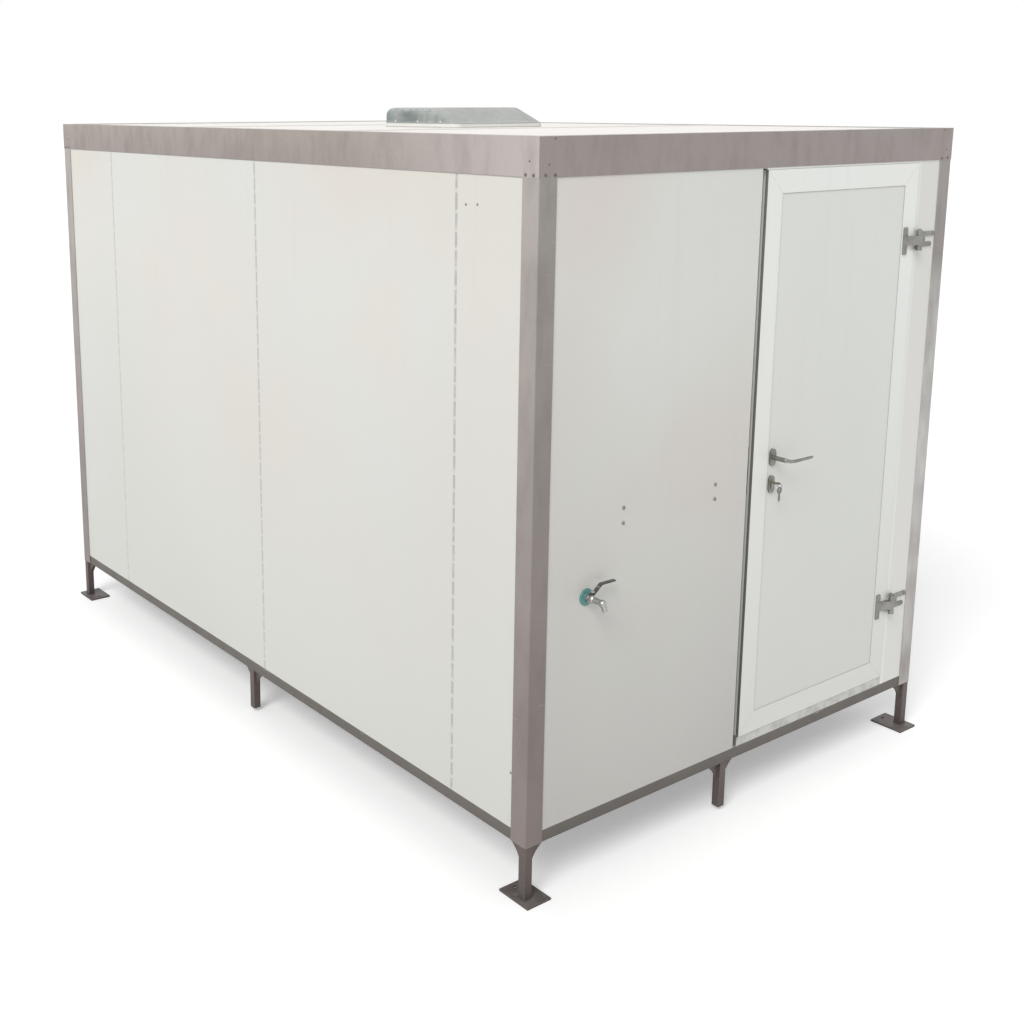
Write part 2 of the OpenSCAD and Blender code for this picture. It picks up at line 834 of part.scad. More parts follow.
module latch_bolt() {
    y0 = lock_y - latch_t / 2;
    y1 = lock_y + latch_t / 2;
    nose = leaf_x0 - latch_throw;
    color(satin) from_corner() translate([0, 0, latch_z - latch_h / 2]) linear_extrude(latch_h)
        polygon([[latch_tail, y0], [nose, y0], [nose, y0 + 2], [leaf_x0 - 1, y1], [latch_tail, y1]]);
}

module deadbolt() {
    color(satin) from_corner()
        block([leaf_x0 + slide_gap, bolt_tail], [lock_y - bolt_t / 2, lock_y + bolt_t / 2],
              [bolt_z - bolt_h / 2, bolt_z + bolt_h / 2]);
}

// Repeats children, drawn on the outside of the leaf, on its inside too.
module both_faces() {
    children();
    translate([0, leaf_t, 0]) mirror([0, 1, 0]) children();
}

// Oval plate with its back on the field of the leaf.
module oval_plate(z) {
    through_leaf(z, [field_recess - rose_t, field_recess]) {
        square([rose_w, rose_h - rose_w], center = true);
        for (end = [-1, 1]) translate([0, end * (rose_h - rose_w) / 2]) circle(d = rose_w);
    }
}

module escutcheons() {
    drop = (cylinder_drop + cylinder_w / 2 - cylinder_r) / 2;
    color(satin) from_corner() both_faces() {
        difference() {
            oval_plate(handle_z);
            through_leaf(handle_z, [-leaf_t, leaf_t]) circle(r = neck_r + run_gap);
        }
        difference() {
            oval_plate(keyhole_z - drop);
            through_leaf(keyhole_z, [-leaf_t, leaf_t]) cylinder_profile(joint_clear);
        }
    }
}

cylinder_face = field_recess - rose_t - cylinder_out;

module lock_cylinder() {
    slot = cam_t / 2 + slide_gap;
    color(satin) from_corner() difference() {
        through_leaf(keyhole_z, [cylinder_face, leaf_t - cylinder_face]) cylinder_profile(0);
        through_leaf(keyhole_z, [-leaf_t, 2 * leaf_t]) circle(r = plug_r + run_gap);
        through_leaf(keyhole_z, [lock_y - slot, lock_y + slot])
            translate([-leaf_t, -cam_r - slide_gap]) square([2 * leaf_t, 2 * leaf_t]);
    }
}

// Plug with its key slot, the cam that throws the deadbolt, and the thumb turn inside.
module cylinder_plug() {
    slack = 0.2;
    turn_y = leaf_t - cylinder_face + joint_clear;
    color(brass) from_corner() difference() {
        union() {
            through_leaf(keyhole_z, [cylinder_face - 1, turn_y + 4]) circle(r = plug_r);
            through_leaf(keyhole_z, [turn_y, turn_y + 5]) circle(r = cylinder_r);
            through_leaf(keyhole_z, [turn_y + 5, turn_y + 18]) rounded_rect(9, 30, 4);
            through_leaf(keyhole_z, [lock_y - cam_t / 2, lock_y + cam_t / 2])
                translate([-cylinder_w / 2, 0]) square([cylinder_w, cam_r - 1]);
        }
        block([lock_x - blade_w / 2 - slack, lock_x + blade_w / 2 + slack],
              [cylinder_face - 2, cylinder_face + blade_l - 5],
              [keyhole_z - key_t / 2 - slack, keyhole_z + key_t / 2 + slack]);
    }
}

// Flat key with its bow centre at the origin and its blade along +Y, for a blade of the given length.
module key_outline(blade) {
    tip = 4;
    difference() {
        union() {
            circle(r = bow_r);
            translate([-blade_w / 2, 0]) square([blade_w, bow_r + blade - tip]);
            polygon([[-blade_w / 2, bow_r], [blade_w / 2, bow_r], [blade_w / 2, bow_r + blade - tip],
                     [0, bow_r + blade], [-blade_w / 2, bow_r + blade - tip]]);
        }
        translate([0, bow_hole_r + bow_rim - bow_r]) circle(r = bow_hole_r);
    }
}

bow_y = cylinder_face - 6 - bow_r;
bow_hole_y = bow_y + bow_hole_r + bow_rim - bow_r;
ring_y = bow_hole_y - sqrt(ring_r * ring_r - ring_drop * ring_drop);
ring_z = keyhole_z - ring_drop;
spare_z = ring_z - ring_r - (bow_hole_r - wire_r - joint_clear) + bow_hole_r + bow_rim - bow_r;

module key() {
    color(satin) from_corner() translate([lock_x, bow_y, keyhole_z - key_t / 2])
        linear_extrude(key_t) key_outline(blade_l);
}

module key_ring() {
    color(satin) from_corner() translate([lock_x, ring_y, ring_z]) rotate([0, 90, 0])
        rotate_extrude() translate([ring_r, 0]) circle(r = wire_r);
}

module spare_key() {
    color(satin) from_corner() translate([lock_x, ring_y - key_t / 2, spare_z])
        rotate([-90, 0, 0]) linear_extrude(key_t) key_outline(blade_l);
}

// Point of the lever's middle line, in the lever's plane, at a share of its length.
function lever_point(share) = let (dip = min(share / 0.4, 1))
    [share * (lever_l - lever_t / 2), -lever_t * (1 - (1 - dip) * (1 - dip))];

// Lever handle on a round neck. The neck stands on the leaf's field, along +Z.
module lever() {
    pieces = 5;
    difference() {
        union() {
            translate([0, 0, joint_clear]) cylinder(r = neck_r, h = lever_out - joint_clear);
            translate([0, 0, lever_out]) sphere(r = neck_r);
            for (i = [0:pieces - 1]) hull() for (share = [i, i + 1] / pieces)
                translate(concat(lever_point(share), lever_out)) scale([1, 1.2 - 0.3 * share, 0.75])
                    sphere(r = lever_t / 2, $fn = hull_fn);
        }
        translate([-spindle_w / 2 - run_gap, -spindle_w / 2 - run_gap, -1])
            cube([spindle_w + 2 * run_gap, spindle_w + 2 * run_gap, lever_out - 8]);
    }
}

module lever_outside() {
    color(satin) from_corner() translate([lock_x, field_recess, handle_z]) rotate([90, 0, 0]) lever();
}

module lever_inside() {
    color(satin) from_corner() translate([lock_x, leaf_t - field_recess, handle_z])
        mirror([0, 1, 0]) rotate([90, 0, 0]) lever();
}

// Square bar through both levers, with the round hub that turns in the lock case.
module lever_spindle() {
    reach = lever_out - 10 - field_recess;
    color(satin) from_corner() {
        block([lock_x - spindle_w / 2, lock_x + spindle_w / 2], [-reach, leaf_t + reach],
              [handle_z - spindle_w / 2, handle_z + spindle_w / 2]);
        through_leaf(handle_z, [lock_y - case_t / 2, lock_y + case_t / 2]) circle(r = neck_r);
    }
}

/* Outside tap */

// Puts what is drawn with Y up and Z out of the wall onto the front wall, at the tap.
module from_tap() {
    from_corner() translate([tap_x, sheet_t, tap_z]) rotate([90, 0, 0]) children();
}

module tap_flange() {
    bore = tap_shank_r + joint_clear;
    color(turquoise) from_tap() rotate_extrude()
        polygon([[bore, 0], [tap_flange_d / 2, 0], [tap_flange_d / 2, 3], [tap_flange_d / 2 - 2, 5],
                 [bore + 5, 6], [bore + 4, tap_flange_t], [bore, tap_flange_t]]);
}

lever_foot = tap_boss + joint_clear;

// Shank through the wall, union nut, ball valve with its boss, and the spout with its hose tail.
module tap_body() {
    shank = pipe_y - pipe_r - sheet_t;
    tail = tap_spout - 17;
    color(satin) from_tap() difference() {
        union() {
            translate([0, 0, -shank]) cylinder(r = tap_shank_r, h = shank + tap_flange_t + 2);
            translate([0, 0, tap_flange_t]) cylinder(r = 15, h = 8, $fn = 6);
            cylinder(r = tap_body_r, h = tap_reach);
            translate([0, 0, tap_stem]) {
                sphere(r = 13);
                rotate([-90, 0, 0]) {
                    cylinder(r = 8, h = tap_boss);
                    cylinder(r = tap_pin_r, h = lever_foot + tap_hub_h + 2);
                    translate([0, 0, lever_foot + tap_hub_h + joint_clear])
                        cylinder(r = 6.5, h = 4, $fn = 6);
                }
            }
            translate([0, 0, tap_reach]) {
                sphere(r = 1.2 * tap_body_r);
                rotate([90 - spout_tilt, 0, 0]) rotate_extrude()
                    polygon([[0, 0], [tap_body_r, 0], [tap_body_r, tail], [8, tail], [8, tail + 4],
                             [9.5, tail + 5], [8, tail + 10], [9.5, tail + 11], [7.5, tap_spout],
                             [0, tap_spout]]);
            }
        }
        translate([0, 0, tap_stem + 16]) cylinder(r = tap_bore_r, h = tap_reach - tap_stem - 16);
        translate([0, 0, tap_reach]) {
            sphere(r = 1.2 * tap_bore_r);
            rotate([90 - spout_tilt, 0, 0]) cylinder(r = tap_bore_r, h = 2 * tap_spout);
        }
    }
}

// Flat lever, bent up and out from its hub.
module tap_lever() {
    width = 14;
    rise = 26;
    plate = 4;
    color(dark_steel) from_tap() translate([0, lever_foot, tap_stem]) difference() {
        union() {
            rotate([-90, 0, 0]) cylinder(r = 8, h = tap_hub_h);
            translate([0, 0, -width / 2]) linear_extrude(width)
                polygon([[0, plate], [8, plate], [36, rise], [tap_lever_l, rise],
                         [tap_lever_l, rise + plate], [34, rise + plate], [7, tap_hub_h], [0, tap_hub_h]]);
        }
        translate([0, -1, 0]) rotate([-90, 0, 0]) cylinder(r = tap_pin_r + run_gap, h = tap_hub_h + 2);
    }
}

/* Toilet */

// Puts what is measured from the back wall, with Y pointing into the room, at the toilet.
module from_toilet() {
    from_corner() translate([wc_x, back_in, floor_z]) mirror([0, 1, 0]) children();
}

// Pan that stands closed to the floor, with the deck for the cistern and two lugs for the seat.
module toilet_pan() {
    color(ceramic) from_toilet() difference() {
        union() {
            hull() {
                translate([0, 0, pan_h - rim_band]) linear_extrude(rim_band) {
                    translate([0, rim_y]) circle(d = pan_w, $fn = hull_fn);
                    translate([-pan_w / 2, wall_gap]) square([pan_w, cistern_d]);
                }
                linear_extrude(rim_band) {
                    translate([0, rim_y - 50]) circle(r = 105, $fn = hull_fn);
                    translate([-105, 70]) square([210, 60]);
                }
            }
            for (side = [-1, 1]) translate([side * seat_post_x, seat_hinge, 0]) {
                block([-seat_post_w / 2, seat_post_w / 2], [-seat_post_r, seat_post_r],
                      [pan_h - 1, seat_hinge_z]);
                translate([-seat_post_w / 2, 0, seat_hinge_z]) rotate([0, 90, 0])
                    cylinder(r = seat_post_r, h = seat_post_w);
            }
        }
        hull() {
            translate([0, 0, pan_h]) linear_extrude(1) {
                translate([0, rim_y]) circle(d = pan_w - 100, $fn = hull_fn);
                translate([0, rim_y - 130]) circle(r = 100, $fn = hull_fn);
            }
            translate([0, rim_y - 90, pan_h - 230]) linear_extrude(1) circle(r = 45, $fn = hull_fn);
        }
        translate([-pan_w / 2, seat_hinge, seat_hinge_z]) rotate([0, 90, 0])
            cylinder(r = seat_bar_r + run_gap, h = pan_w);
    }
}

// Ring with four buffers under it, two arms and the hinge bar. There is no lid.
module toilet_seat() {
    rear = seat_hinge + 18;
    arm_w = 24;
    arm_x = seat_post_x - seat_post_w / 2 - 6 - arm_w;
    color(profile_white) from_toilet() {
        translate([0, 0, seat_z]) linear_extrude(seat_t) difference() {
            hull() {
                translate([0, rim_y]) circle(d = pan_w + 4);
                translate([0, rear + 30]) rounded_rect(290, 60, 28);
            }
            hull() {
                translate([0, rim_y - 10]) circle(d = pan_w - 130);
                translate([0, rear + 150]) circle(r = 95);
            }
        }
        translate([-pan_w / 2 + 70, seat_hinge, seat_hinge_z]) rotate([0, 90, 0])
            cylinder(r = seat_bar_r, h = pan_w - 140);
        for (side = [-1, 1]) {
            block([side * arm_x - (side < 0 ? arm_w : 0), side * arm_x + (side > 0 ? arm_w : 0)],
                  [seat_hinge, rear + 2], [seat_hinge_z - seat_bar_r, seat_hinge_z + seat_bar_r]);
            for (foot = [[side * 150, rim_y], [side * 112, rear + 66]])
                translate([foot.x, foot.y, pan_h + joint_clear])
                    cylinder(r = 8, h = seat_z - pan_h);
        }
    }
}

// Cistern with its cover. It is hollow, and its underside is closed by the deck of the pan.
module toilet_cistern() {
    cover = 32;
    color(ceramic) from_toilet() translate([0, cistern_y, pan_h]) difference() {
        union() {
            linear_extrude(cistern_h - cover - 2) rounded_rect(cistern_w, cistern_d, 24);
            linear_extrude(cistern_h - 1) rounded_rect(cistern_w - 4, cistern_d - 4, 22);
            translate([0, 0, cistern_h - cover]) linear_extrude(cover)
                rounded_rect(cistern_w + 8, cistern_d + 8, 28);
        }
        translate([0, 0, -1]) linear_extrude(cistern_h - cistern_wall + 1)
            rounded_rect(cistern_w - 2 * cistern_wall, cistern_d - 2 * cistern_wall, 12);
        cylinder(r = button_r + button_gap, h = cistern_h + 1);
    }
}

// Push button with the collar that keeps it in the cover.
module flush_button() {
    collar = 3;
    foot = cistern_wall + joint_clear + collar;
    color(satin) from_toilet() translate([0, cistern_y, pan_h + cistern_h - foot]) {
        cylinder(r = button_r, h = foot + button_up);
        cylinder(r = button_r + collar, h = collar);
    }
}

/* Washbasin */

// Puts what is measured from the front wall, with Z = 0 at the rim, at the washbasin.
module from_basin() {
    from_corner() translate([basin_x, front_in, rim_z]) children();
}

module washbasin() {
    color(ceramic) from_basin() difference() {
        union() {
            translate([0, basin_gap + basin_d / 2, -basin_flange]) linear_extrude(basin_flange)
                rounded_rect(basin_w, basin_d, 45);
            hull() {
                translate([0, bowl_mid, -basin_flange - 1]) linear_extrude(2)
                    rounded_rect(basin_w - 90, bowl_d + 30, 60, $fn = hull_fn);
                translate([0, bowl_mid, -basin_deep - basin_wall]) linear_extrude(1)
                    circle(r = 90, $fn = hull_fn);
            }
        }
        hull() {
            translate([0, bowl_mid, 0]) linear_extrude(1)
                rounded_rect(basin_w - 2 * bowl_side, bowl_d, bowl_r, $fn = hull_fn);
            translate([0, bowl_mid, -basin_deep]) linear_extrude(1) circle(r = 60, $fn = hull_fn);
        }
        translate([0, bowl_mid, -basin_deep - basin_wall - 1])
            cylinder(r = waste_r + joint_clear, h = basin_deep);
        translate([0, pipe_y - front_in, -basin_flange - 2])
            cylinder(r = pipe_r + joint_clear, h = basin_flange + 4);
    }
}

// Two upright plates on the wall, each with an arm under the washbasin's rim.
module basin_brackets() {
    arm_l = basin_d - bracket_end;
    color(steel) from_basin() for (side = [-1, 1]) translate([side * bracket_pitch / 2, 0, 0]) {
        translate([0, bracket_t, -28]) rotate([90, 0, 0]) linear_extrude(bracket_t)
            rounded_rect(bracket_w, bracket_h, 6);
        rotate([90, 0, 90]) translate([0, 0, -3]) linear_extrude(6)
            polygon([[bracket_t - 1, -basin_flange], [arm_l, -basin_flange], [arm_l, -basin_flange - 8],
                     [bracket_t - 1, -basin_flange - 26]]);
    }
}

// Pillar tap with its shank and back nut.
module basin_tap() {
    spout = 105;
    color(satin) from_basin() translate([0, pipe_y - front_in, 0]) difference() {
        union() {
            translate([0, 0, -shank_low]) cylinder(r = pipe_r, h = shank_low + 1);
            translate([0, 0, -basin_flange - 8]) cylinder(r = 16, h = 8, $fn = 6);
            cylinder(r = 22, h = 5);
            cylinder(r = 14, h = column_h);
            translate([0, 0, column_h - 18]) {
                rotate([-90, 0, 0]) cylinder(r = 9, h = spout);
                translate([0, spout, 0]) sphere(r = 9);
                translate([0, spout, -20]) cylinder(r = 9, h = 20);
            }
            cylinder(r = tap_pin_r, h = column_h + tap_hub_h + 6);
            translate([0, 0, column_h + 2 * joint_clear + tap_hub_h + 4]) cylinder(r = 7, h = 3);
        }
        translate([0, spout, column_h - 39]) cylinder(r = 6, h = 22);
    }
}

module basin_tap_lever() {
    hub = tap_hub_h + 4;
    color(satin) from_basin()
        translate([0, pipe_y - front_in, column_h + joint_clear]) difference() {
            union() {
                cylinder(r = 13, h = hub);
                translate([0, 33, 5]) linear_extrude(5) rounded_rect(13, 66, 6);
            }
            translate([0, 0, -1]) cylinder(r = tap_pin_r + run_gap, h = hub + 2);
        }
}

/* Pipes */

// Pipe from point to point along the axes, with a round elbow at each turn.
module pipe_run(points, r) {
    for (i = [1:len(points) - 1]) bar(points[i - 1], points[i], r);
    for (i = [1:1:len(points) - 2]) translate(points[i]) sphere(r = r + 2);
}

// Cold water pipe: the riser with the tap's socket, the run to the washbasin and the run to the cistern.
module supply_pipe() {
    run_z = rim_z - shank_low - 80;
    inlet = [tap_x, pipe_y, pipe_low];
    cistern_z = floor_z + pan_h + cistern_in;
    color(turquoise) from_corner() difference() {
        union() {
            pipe_run([[tap_x, pipe_y, pipe_end], [tap_x, pipe_y, run_z], [basin_x, pipe_y, run_z],
                      [basin_x, pipe_y, rim_z - shank_low]], pipe_r);
            pipe_run([inlet, [pipe_side, pipe_y, pipe_low], [pipe_side, pipe_back, pipe_low],
                      [pipe_side, pipe_back, cistern_z],
                      [wc_x - cistern_w / 2, pipe_back, cistern_z]], pipe_r);
            translate(inlet) sphere(r = pipe_r + 2);
            bar([tap_x, pipe_y, collar_z], [tap_x, pipe_y, floor_z + 5], pipe_r + collar);
            bar([tap_x, panel_in, tap_z], [tap_x, pipe_y, tap_z], tap_shank_r + 4);
            translate([tap_x, pipe_y, tap_z]) sphere(r = tap_shank_r + 4);
        }
        bar([tap_x, panel_in - 1, tap_z], [tap_x, pipe_y - pipe_r, tap_z], tap_shank_r + run_gap);
    }
}

// Soil pipe under the toilet, and the waste of the washbasin with its bottle trap.
module waste_pipes() {
    pipe_wall = 3;
    drain_y = front_in + bowl_mid;
    waste_top = rim_z - basin_deep;
    trap_z = rim_z - basin_deep - basin_wall - 150;
    down_y = panel_in + waste_y;
    color(profile_white) from_corner() {
        translate([wc_x, back_in - soil_y, pipe_end]) difference() {
            union() {
                cylinder(d = soil_d, h = floor_z - pipe_end);
                translate([0, 0, collar_z - pipe_end])
                    cylinder(r = soil_d / 2 + collar, h = floor_z - collar_z);
            }
            translate([0, 0, -1]) cylinder(r = soil_d / 2 - pipe_wall, h = floor_z - pipe_end + 2);
        }
        difference() {
            union() {
                translate([basin_x, drain_y, waste_top]) cylinder(r = 28, h = 3);
                bar([basin_x, drain_y, trap_z], [basin_x, drain_y, waste_top + 1], waste_r);
                translate([basin_x, drain_y, trap_z - 20]) cylinder(r = 36, h = 90);
                translate([basin_x, drain_y, trap_z - 28]) cylinder(r1 = 24, r2 = 36, h = 8);
                pipe_run([[basin_x, drain_y, trap_z + 40], [basin_x, down_y, trap_z + 40],
                          [basin_x, down_y, pipe_end]], waste_r);
                bar([basin_x, down_y, collar_z], [basin_x, down_y, floor_z + 5], waste_r + collar);
            }
            translate([basin_x, drain_y, trap_z + 60])
                cylinder(r = waste_r - pipe_wall, h = waste_top - trap_z);
            translate([basin_x, down_y, pipe_end - 1])
                cylinder(r = waste_r - pipe_wall, h = floor_z - pipe_end);
        }
    }
}

base_rail_front();
base_rail_back();
base_rail_left();
base_rail_right();
floor_joists();
corner_legs();
mid_legs();
corner_post_front_left();
corner_post_front_right();
corner_post_back_left();
corner_post_back_right();
fascia_front();
fascia_back();
fascia_left();
fascia_right();
floor_panel();
roof_joists();
roof_panels();
rooflight_curb();
rooflight_cover();
wall_panels_left();
wall_panels_right();
wall_panels_back();
wall_panels_front();
door_jamb_latch();
door_jamb_hinge();
door_head();
door_sill();
door_stops();
door_seal();
strike_plate();
hinge_brackets();
hinge_straps();
door_leaf_frame();
door_leaf_field();
lock_case();
escutcheons();
lock_cylinder();
lever_outside();
lever_inside();
lever_spindle();
latch_bolt();
deadbolt();
cylinder_plug();
key();
key_ring();
spare_key();
tap_flange();
tap_body();
tap_lever();
toilet_pan();
toilet_cistern();
toilet_seat();
flush_button();
washbasin();
basin_brackets();
basin_tap();
basin_tap_lever();
supply_pipe();
waste_pipes();
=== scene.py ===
"""Sanitary container: looks, small fittings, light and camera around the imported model."""
import json
import math
import random

import bmesh
import bpy
from mathutils import Matrix, Vector


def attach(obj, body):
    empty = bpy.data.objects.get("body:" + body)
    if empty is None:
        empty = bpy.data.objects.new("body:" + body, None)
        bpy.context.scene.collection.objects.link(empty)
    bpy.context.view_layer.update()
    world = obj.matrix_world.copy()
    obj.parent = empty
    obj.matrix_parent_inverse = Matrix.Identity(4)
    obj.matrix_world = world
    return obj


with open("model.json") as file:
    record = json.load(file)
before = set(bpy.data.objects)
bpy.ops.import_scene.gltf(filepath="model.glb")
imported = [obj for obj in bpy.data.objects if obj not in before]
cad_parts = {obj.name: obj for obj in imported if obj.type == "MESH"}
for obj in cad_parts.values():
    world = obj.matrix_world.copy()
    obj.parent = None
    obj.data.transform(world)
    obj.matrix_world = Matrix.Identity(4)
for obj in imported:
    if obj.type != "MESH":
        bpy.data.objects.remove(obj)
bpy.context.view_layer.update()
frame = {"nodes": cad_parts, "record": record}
nodes = frame["nodes"]
random.seed(4)

# Sizes in millimetres: the cabin over its posts, its legs, and the posts' sheet, width and height.
WIDTH, LENGTH, LEG = 2080.0, 3360.0, 190.0
SHEET, POST, POST_H = 3.0, 70.0, 2084.0


def at(x, y, z):
    """Point in metres, from millimetres measured from the outer front left corner under the rails."""
    return Vector((x / 1000 - WIDTH / 2000, y / 1000 - LENGTH / 2000, z / 1000 + LEG / 1000))


def circle(count, closed=False):
    """Cosine and sine at equal steps round a circle."""
    turns = [2 * math.pi * i / count for i in range(count + closed)]
    return [(math.cos(a), math.sin(a)) for a in turns]


# materials
def lin(c):
    """Linear colour of an sRGB colour given in 0 to 255."""
    out = []
    for v in c:
        v /= 255
        out.append(v / 12.92 if v <= 0.04045 else ((v + 0.055) / 1.055) ** 2.4)
    return (*out, 1.0)


class Nodes:
    """The node tree of a material or world, emptied, with short ways to add to it."""

    def __init__(self, owner):
        owner.use_nodes = True
        self.nt = owner.node_tree
        self.nt.nodes.clear()

    def add(self, kind, **settings):
        n = self.nt.nodes.new(kind)
        for k, v in settings.items():
            setattr(n, k, v)
        return n

    def link(self, a, b):
        self.nt.links.new(a, b)

    def put(self, socket, value):
        if isinstance(value, bpy.types.NodeSocket):
            self.link(value, socket)
        else:
            socket.default_value = value

    def math(self, op, a, b=0.0):
        n = self.add("ShaderNodeMath", operation=op)
        self.put(n.inputs[0], a)
        self.put(n.inputs[1], b)
        return n.outputs[0]

    def seen_directly(self):
        """1 where the camera, a reflection or a transparent piece shows it, and 0 where it only lights."""
        rays = self.add("ShaderNodeLightPath")
        direct = self.math("MAXIMUM", rays.outputs["Is Camera Ray"], rays.outputs["Is Glossy Ray"])
        return self.math("MAXIMUM", direct, rays.outputs["Is Transmission Ray"])


class Tree(Nodes):
    """A material with one principled surface, textured by object coordinates."""

    def __init__(self, name):
        self.mat = bpy.data.materials.new(name)
        super().__init__(self.mat)
        self.out = self.add("ShaderNodeOutputMaterial")
        self.bsdf = self.add("ShaderNodeBsdfPrincipled")
        self.link(self.bsdf.outputs[0], self.out.inputs["Surface"])
        self.co = self.add("ShaderNodeTexCoord").outputs["Object"]

    def scaled(self, scale):
        """Object coordinates stretched by a factor along each axis."""
        m = self.add("ShaderNodeMapping")
        self.link(self.co, m.inputs["Vector"])
        m.inputs["Scale"].default_value = scale
        return m.outputs[0]

    def noise(self, scale, detail=3.0, rough=0.55, vector=None, distortion=0.0):
        """Soft random pattern, from 0 to 1."""
        n = self.add("ShaderNodeTexNoise")
        self.link(vector or self.co, n.inputs["Vector"])
        n.inputs["Scale"].default_value = scale
        n.inputs["Detail"].default_value = detail
        n.inputs["Roughness"].default_value = rough
        n.inputs["Distortion"].default_value = distortion
        return n.outputs["Fac"]

    def ramp(self, value, low, high, a=0.0, b=1.0):
        """a where the value is at low, b where it is at high, and even between them."""
        n = self.add("ShaderNodeMapRange")
        self.link(value, n.inputs["Value"])
        n.inputs["From Min"].default_value = low
        n.inputs["From Max"].default_value = high
        n.inputs["To Min"].default_value = a
        n.inputs["To Max"].default_value = b
        return n.outputs["Result"]

    def times(self, a, b):
        return self.math("MULTIPLY", a, b)

    def plus(self, a, b):
        return self.math("ADD", a, b)

    def mix(self, fac, a, b, kind="MIX"):
        """Colour a where fac is 0 and b where it is 1."""
        n = self.add("ShaderNodeMix", data_type="RGBA", blend_type=kind)
        self.put(n.inputs["Factor"], fac)
        self.put(n.inputs["A"], a)
        self.put(n.inputs["B"], b)
        return n.outputs["Result"]

    def axis(self, name):
        """Height, depth or breadth in metres, by the name of the axis."""
        n = self.add("ShaderNodeSeparateXYZ")
        self.link(self.co, n.inputs[0])
        return n.outputs[name]

    def normal(self):
        return self.add("ShaderNodeNewGeometry").outputs["Normal"]

    def rounded(self, radius):
        """Normal of the surface with its edges rounded off."""
        n = self.add("ShaderNodeBevel", samples=4)
        n.inputs["Radius"].default_value = radius
        return n.outputs[0]

    def edge(self, radius):
        """0 on flat ground and up to 1 on edges, from the rounded and the true normal."""
        dot = self.add("ShaderNodeVectorMath", operation="DOT_PRODUCT")
        self.link(self.rounded(radius), dot.inputs[0])
        self.link(self.normal(), dot.inputs[1])
        return self.ramp(dot.outputs["Value"], 1.0, 0.85)

    def facing(self, axis, none, full):
        """0 on faces whose normal has the share none of the axis, and 1 from the share full on."""
        n = self.add("ShaderNodeSeparateXYZ")
        self.link(self.normal(), n.inputs[0])
        return self.ramp(n.outputs[axis], none, full)

    def upward(self):
        """1 on faces that look up, where dust settles, and 0 on upright ones."""
        return self.facing("Z", 0.55, 0.98)

    def bump(self, layers, bevel=0.0):
        """Normal from bump layers of (height, strength, distance in metres), over rounded edges."""
        normal = self.rounded(bevel) if bevel else None
        for height, strength, distance in layers:
            n = self.add("ShaderNodeBump")
            n.inputs["Strength"].default_value = strength
            n.inputs["Distance"].default_value = distance
            self.link(height, n.inputs["Height"])
            if normal:
                self.link(normal, n.inputs["Normal"])
            normal = n.outputs[0]
        if normal:
            self.link(normal, self.bsdf.inputs["Normal"])

    def done(self, color, rough, metal=0.0, **more):
        """The material, once its surface has its colour, roughness and other values."""
        self.put(self.bsdf.inputs["Base Color"], color)
        self.put(self.bsdf.inputs["Roughness"], rough)
        self.bsdf.inputs["Metallic"].default_value = metal
        for k, v in more.items():
            self.put(self.bsdf.inputs[k.replace("_", " ")], v)
        return self.mat


def coated_panel(name, base, warm, cool, dirt=0.35, rough=0.36, foot=None, right=None):
    """Coil-coated steel skin: soft patches of tint, faint long waves, fine grain and splashes low down.

    foot is the duller colour that it takes towards the ground as painted shade, right that of the strip
    beside the hinges."""
    t = Tree(name)
    patch = t.ramp(t.noise(1.15, 2.0, 0.5, distortion=0.4), 0.38, 0.62)
    broad = t.ramp(t.noise(0.55, 1.0, 0.5, t.scaled((1.0, 1.0, 0.6))), 0.4, 0.6)
    color = t.mix(patch, lin(base), lin(warm))
    color = t.mix(t.times(broad, 0.6), color, lin(cool))
    streak = t.ramp(t.noise(9.0, 4.0, 0.6, t.scaled((3.2, 3.2, 0.09))), 0.56, 0.75)
    color = t.mix(t.times(streak, 0.05), color, lin((176, 172, 164)))
    # Painted shade: the skin turns to foot towards the ground, where less light reaches.
    if foot:
        painted_low_shade = t.plus(t.ramp(t.axis("Z"), 1.95, 0.25), t.ramp(broad, 0.0, 1.0, -0.08, 0.08))
        painted_low_shade.node.use_clamp = True
        color = t.mix(painted_low_shade, color, lin(foot))
    if right:
        color = t.mix(t.ramp(t.axis("X"), 0.78, 0.84), color, lin(right))
    low = t.ramp(t.axis("Z"), 0.50, 0.22)
    splash = t.ramp(t.noise(75.0, 5.0, 0.7), 0.55, 0.75)
    soil = t.times(t.times(low, splash), dirt * 0.45)
    color = t.mix(soil, color, lin((158, 150, 140)))
    speck = t.ramp(t.noise(210.0, 2.0, 0.5), 0.70, 0.76)
    color = t.mix(t.times(speck, 0.10), color, lin((150, 146, 140)))
    wave = t.noise(1.7, 1.0, 0.4, t.scaled((1.0, 1.0, 0.45)))
    grain = t.noise(900.0, 2.0, 0.6)
    t.bump([(wave, 0.35, 0.010), (grain, 0.10, 0.0004)], 0.0008)
    gloss = t.plus(t.times(patch, 0.07), rough)
    gloss = t.plus(t.times(soil, 0.4), gloss)
    return t.done(color, gloss)


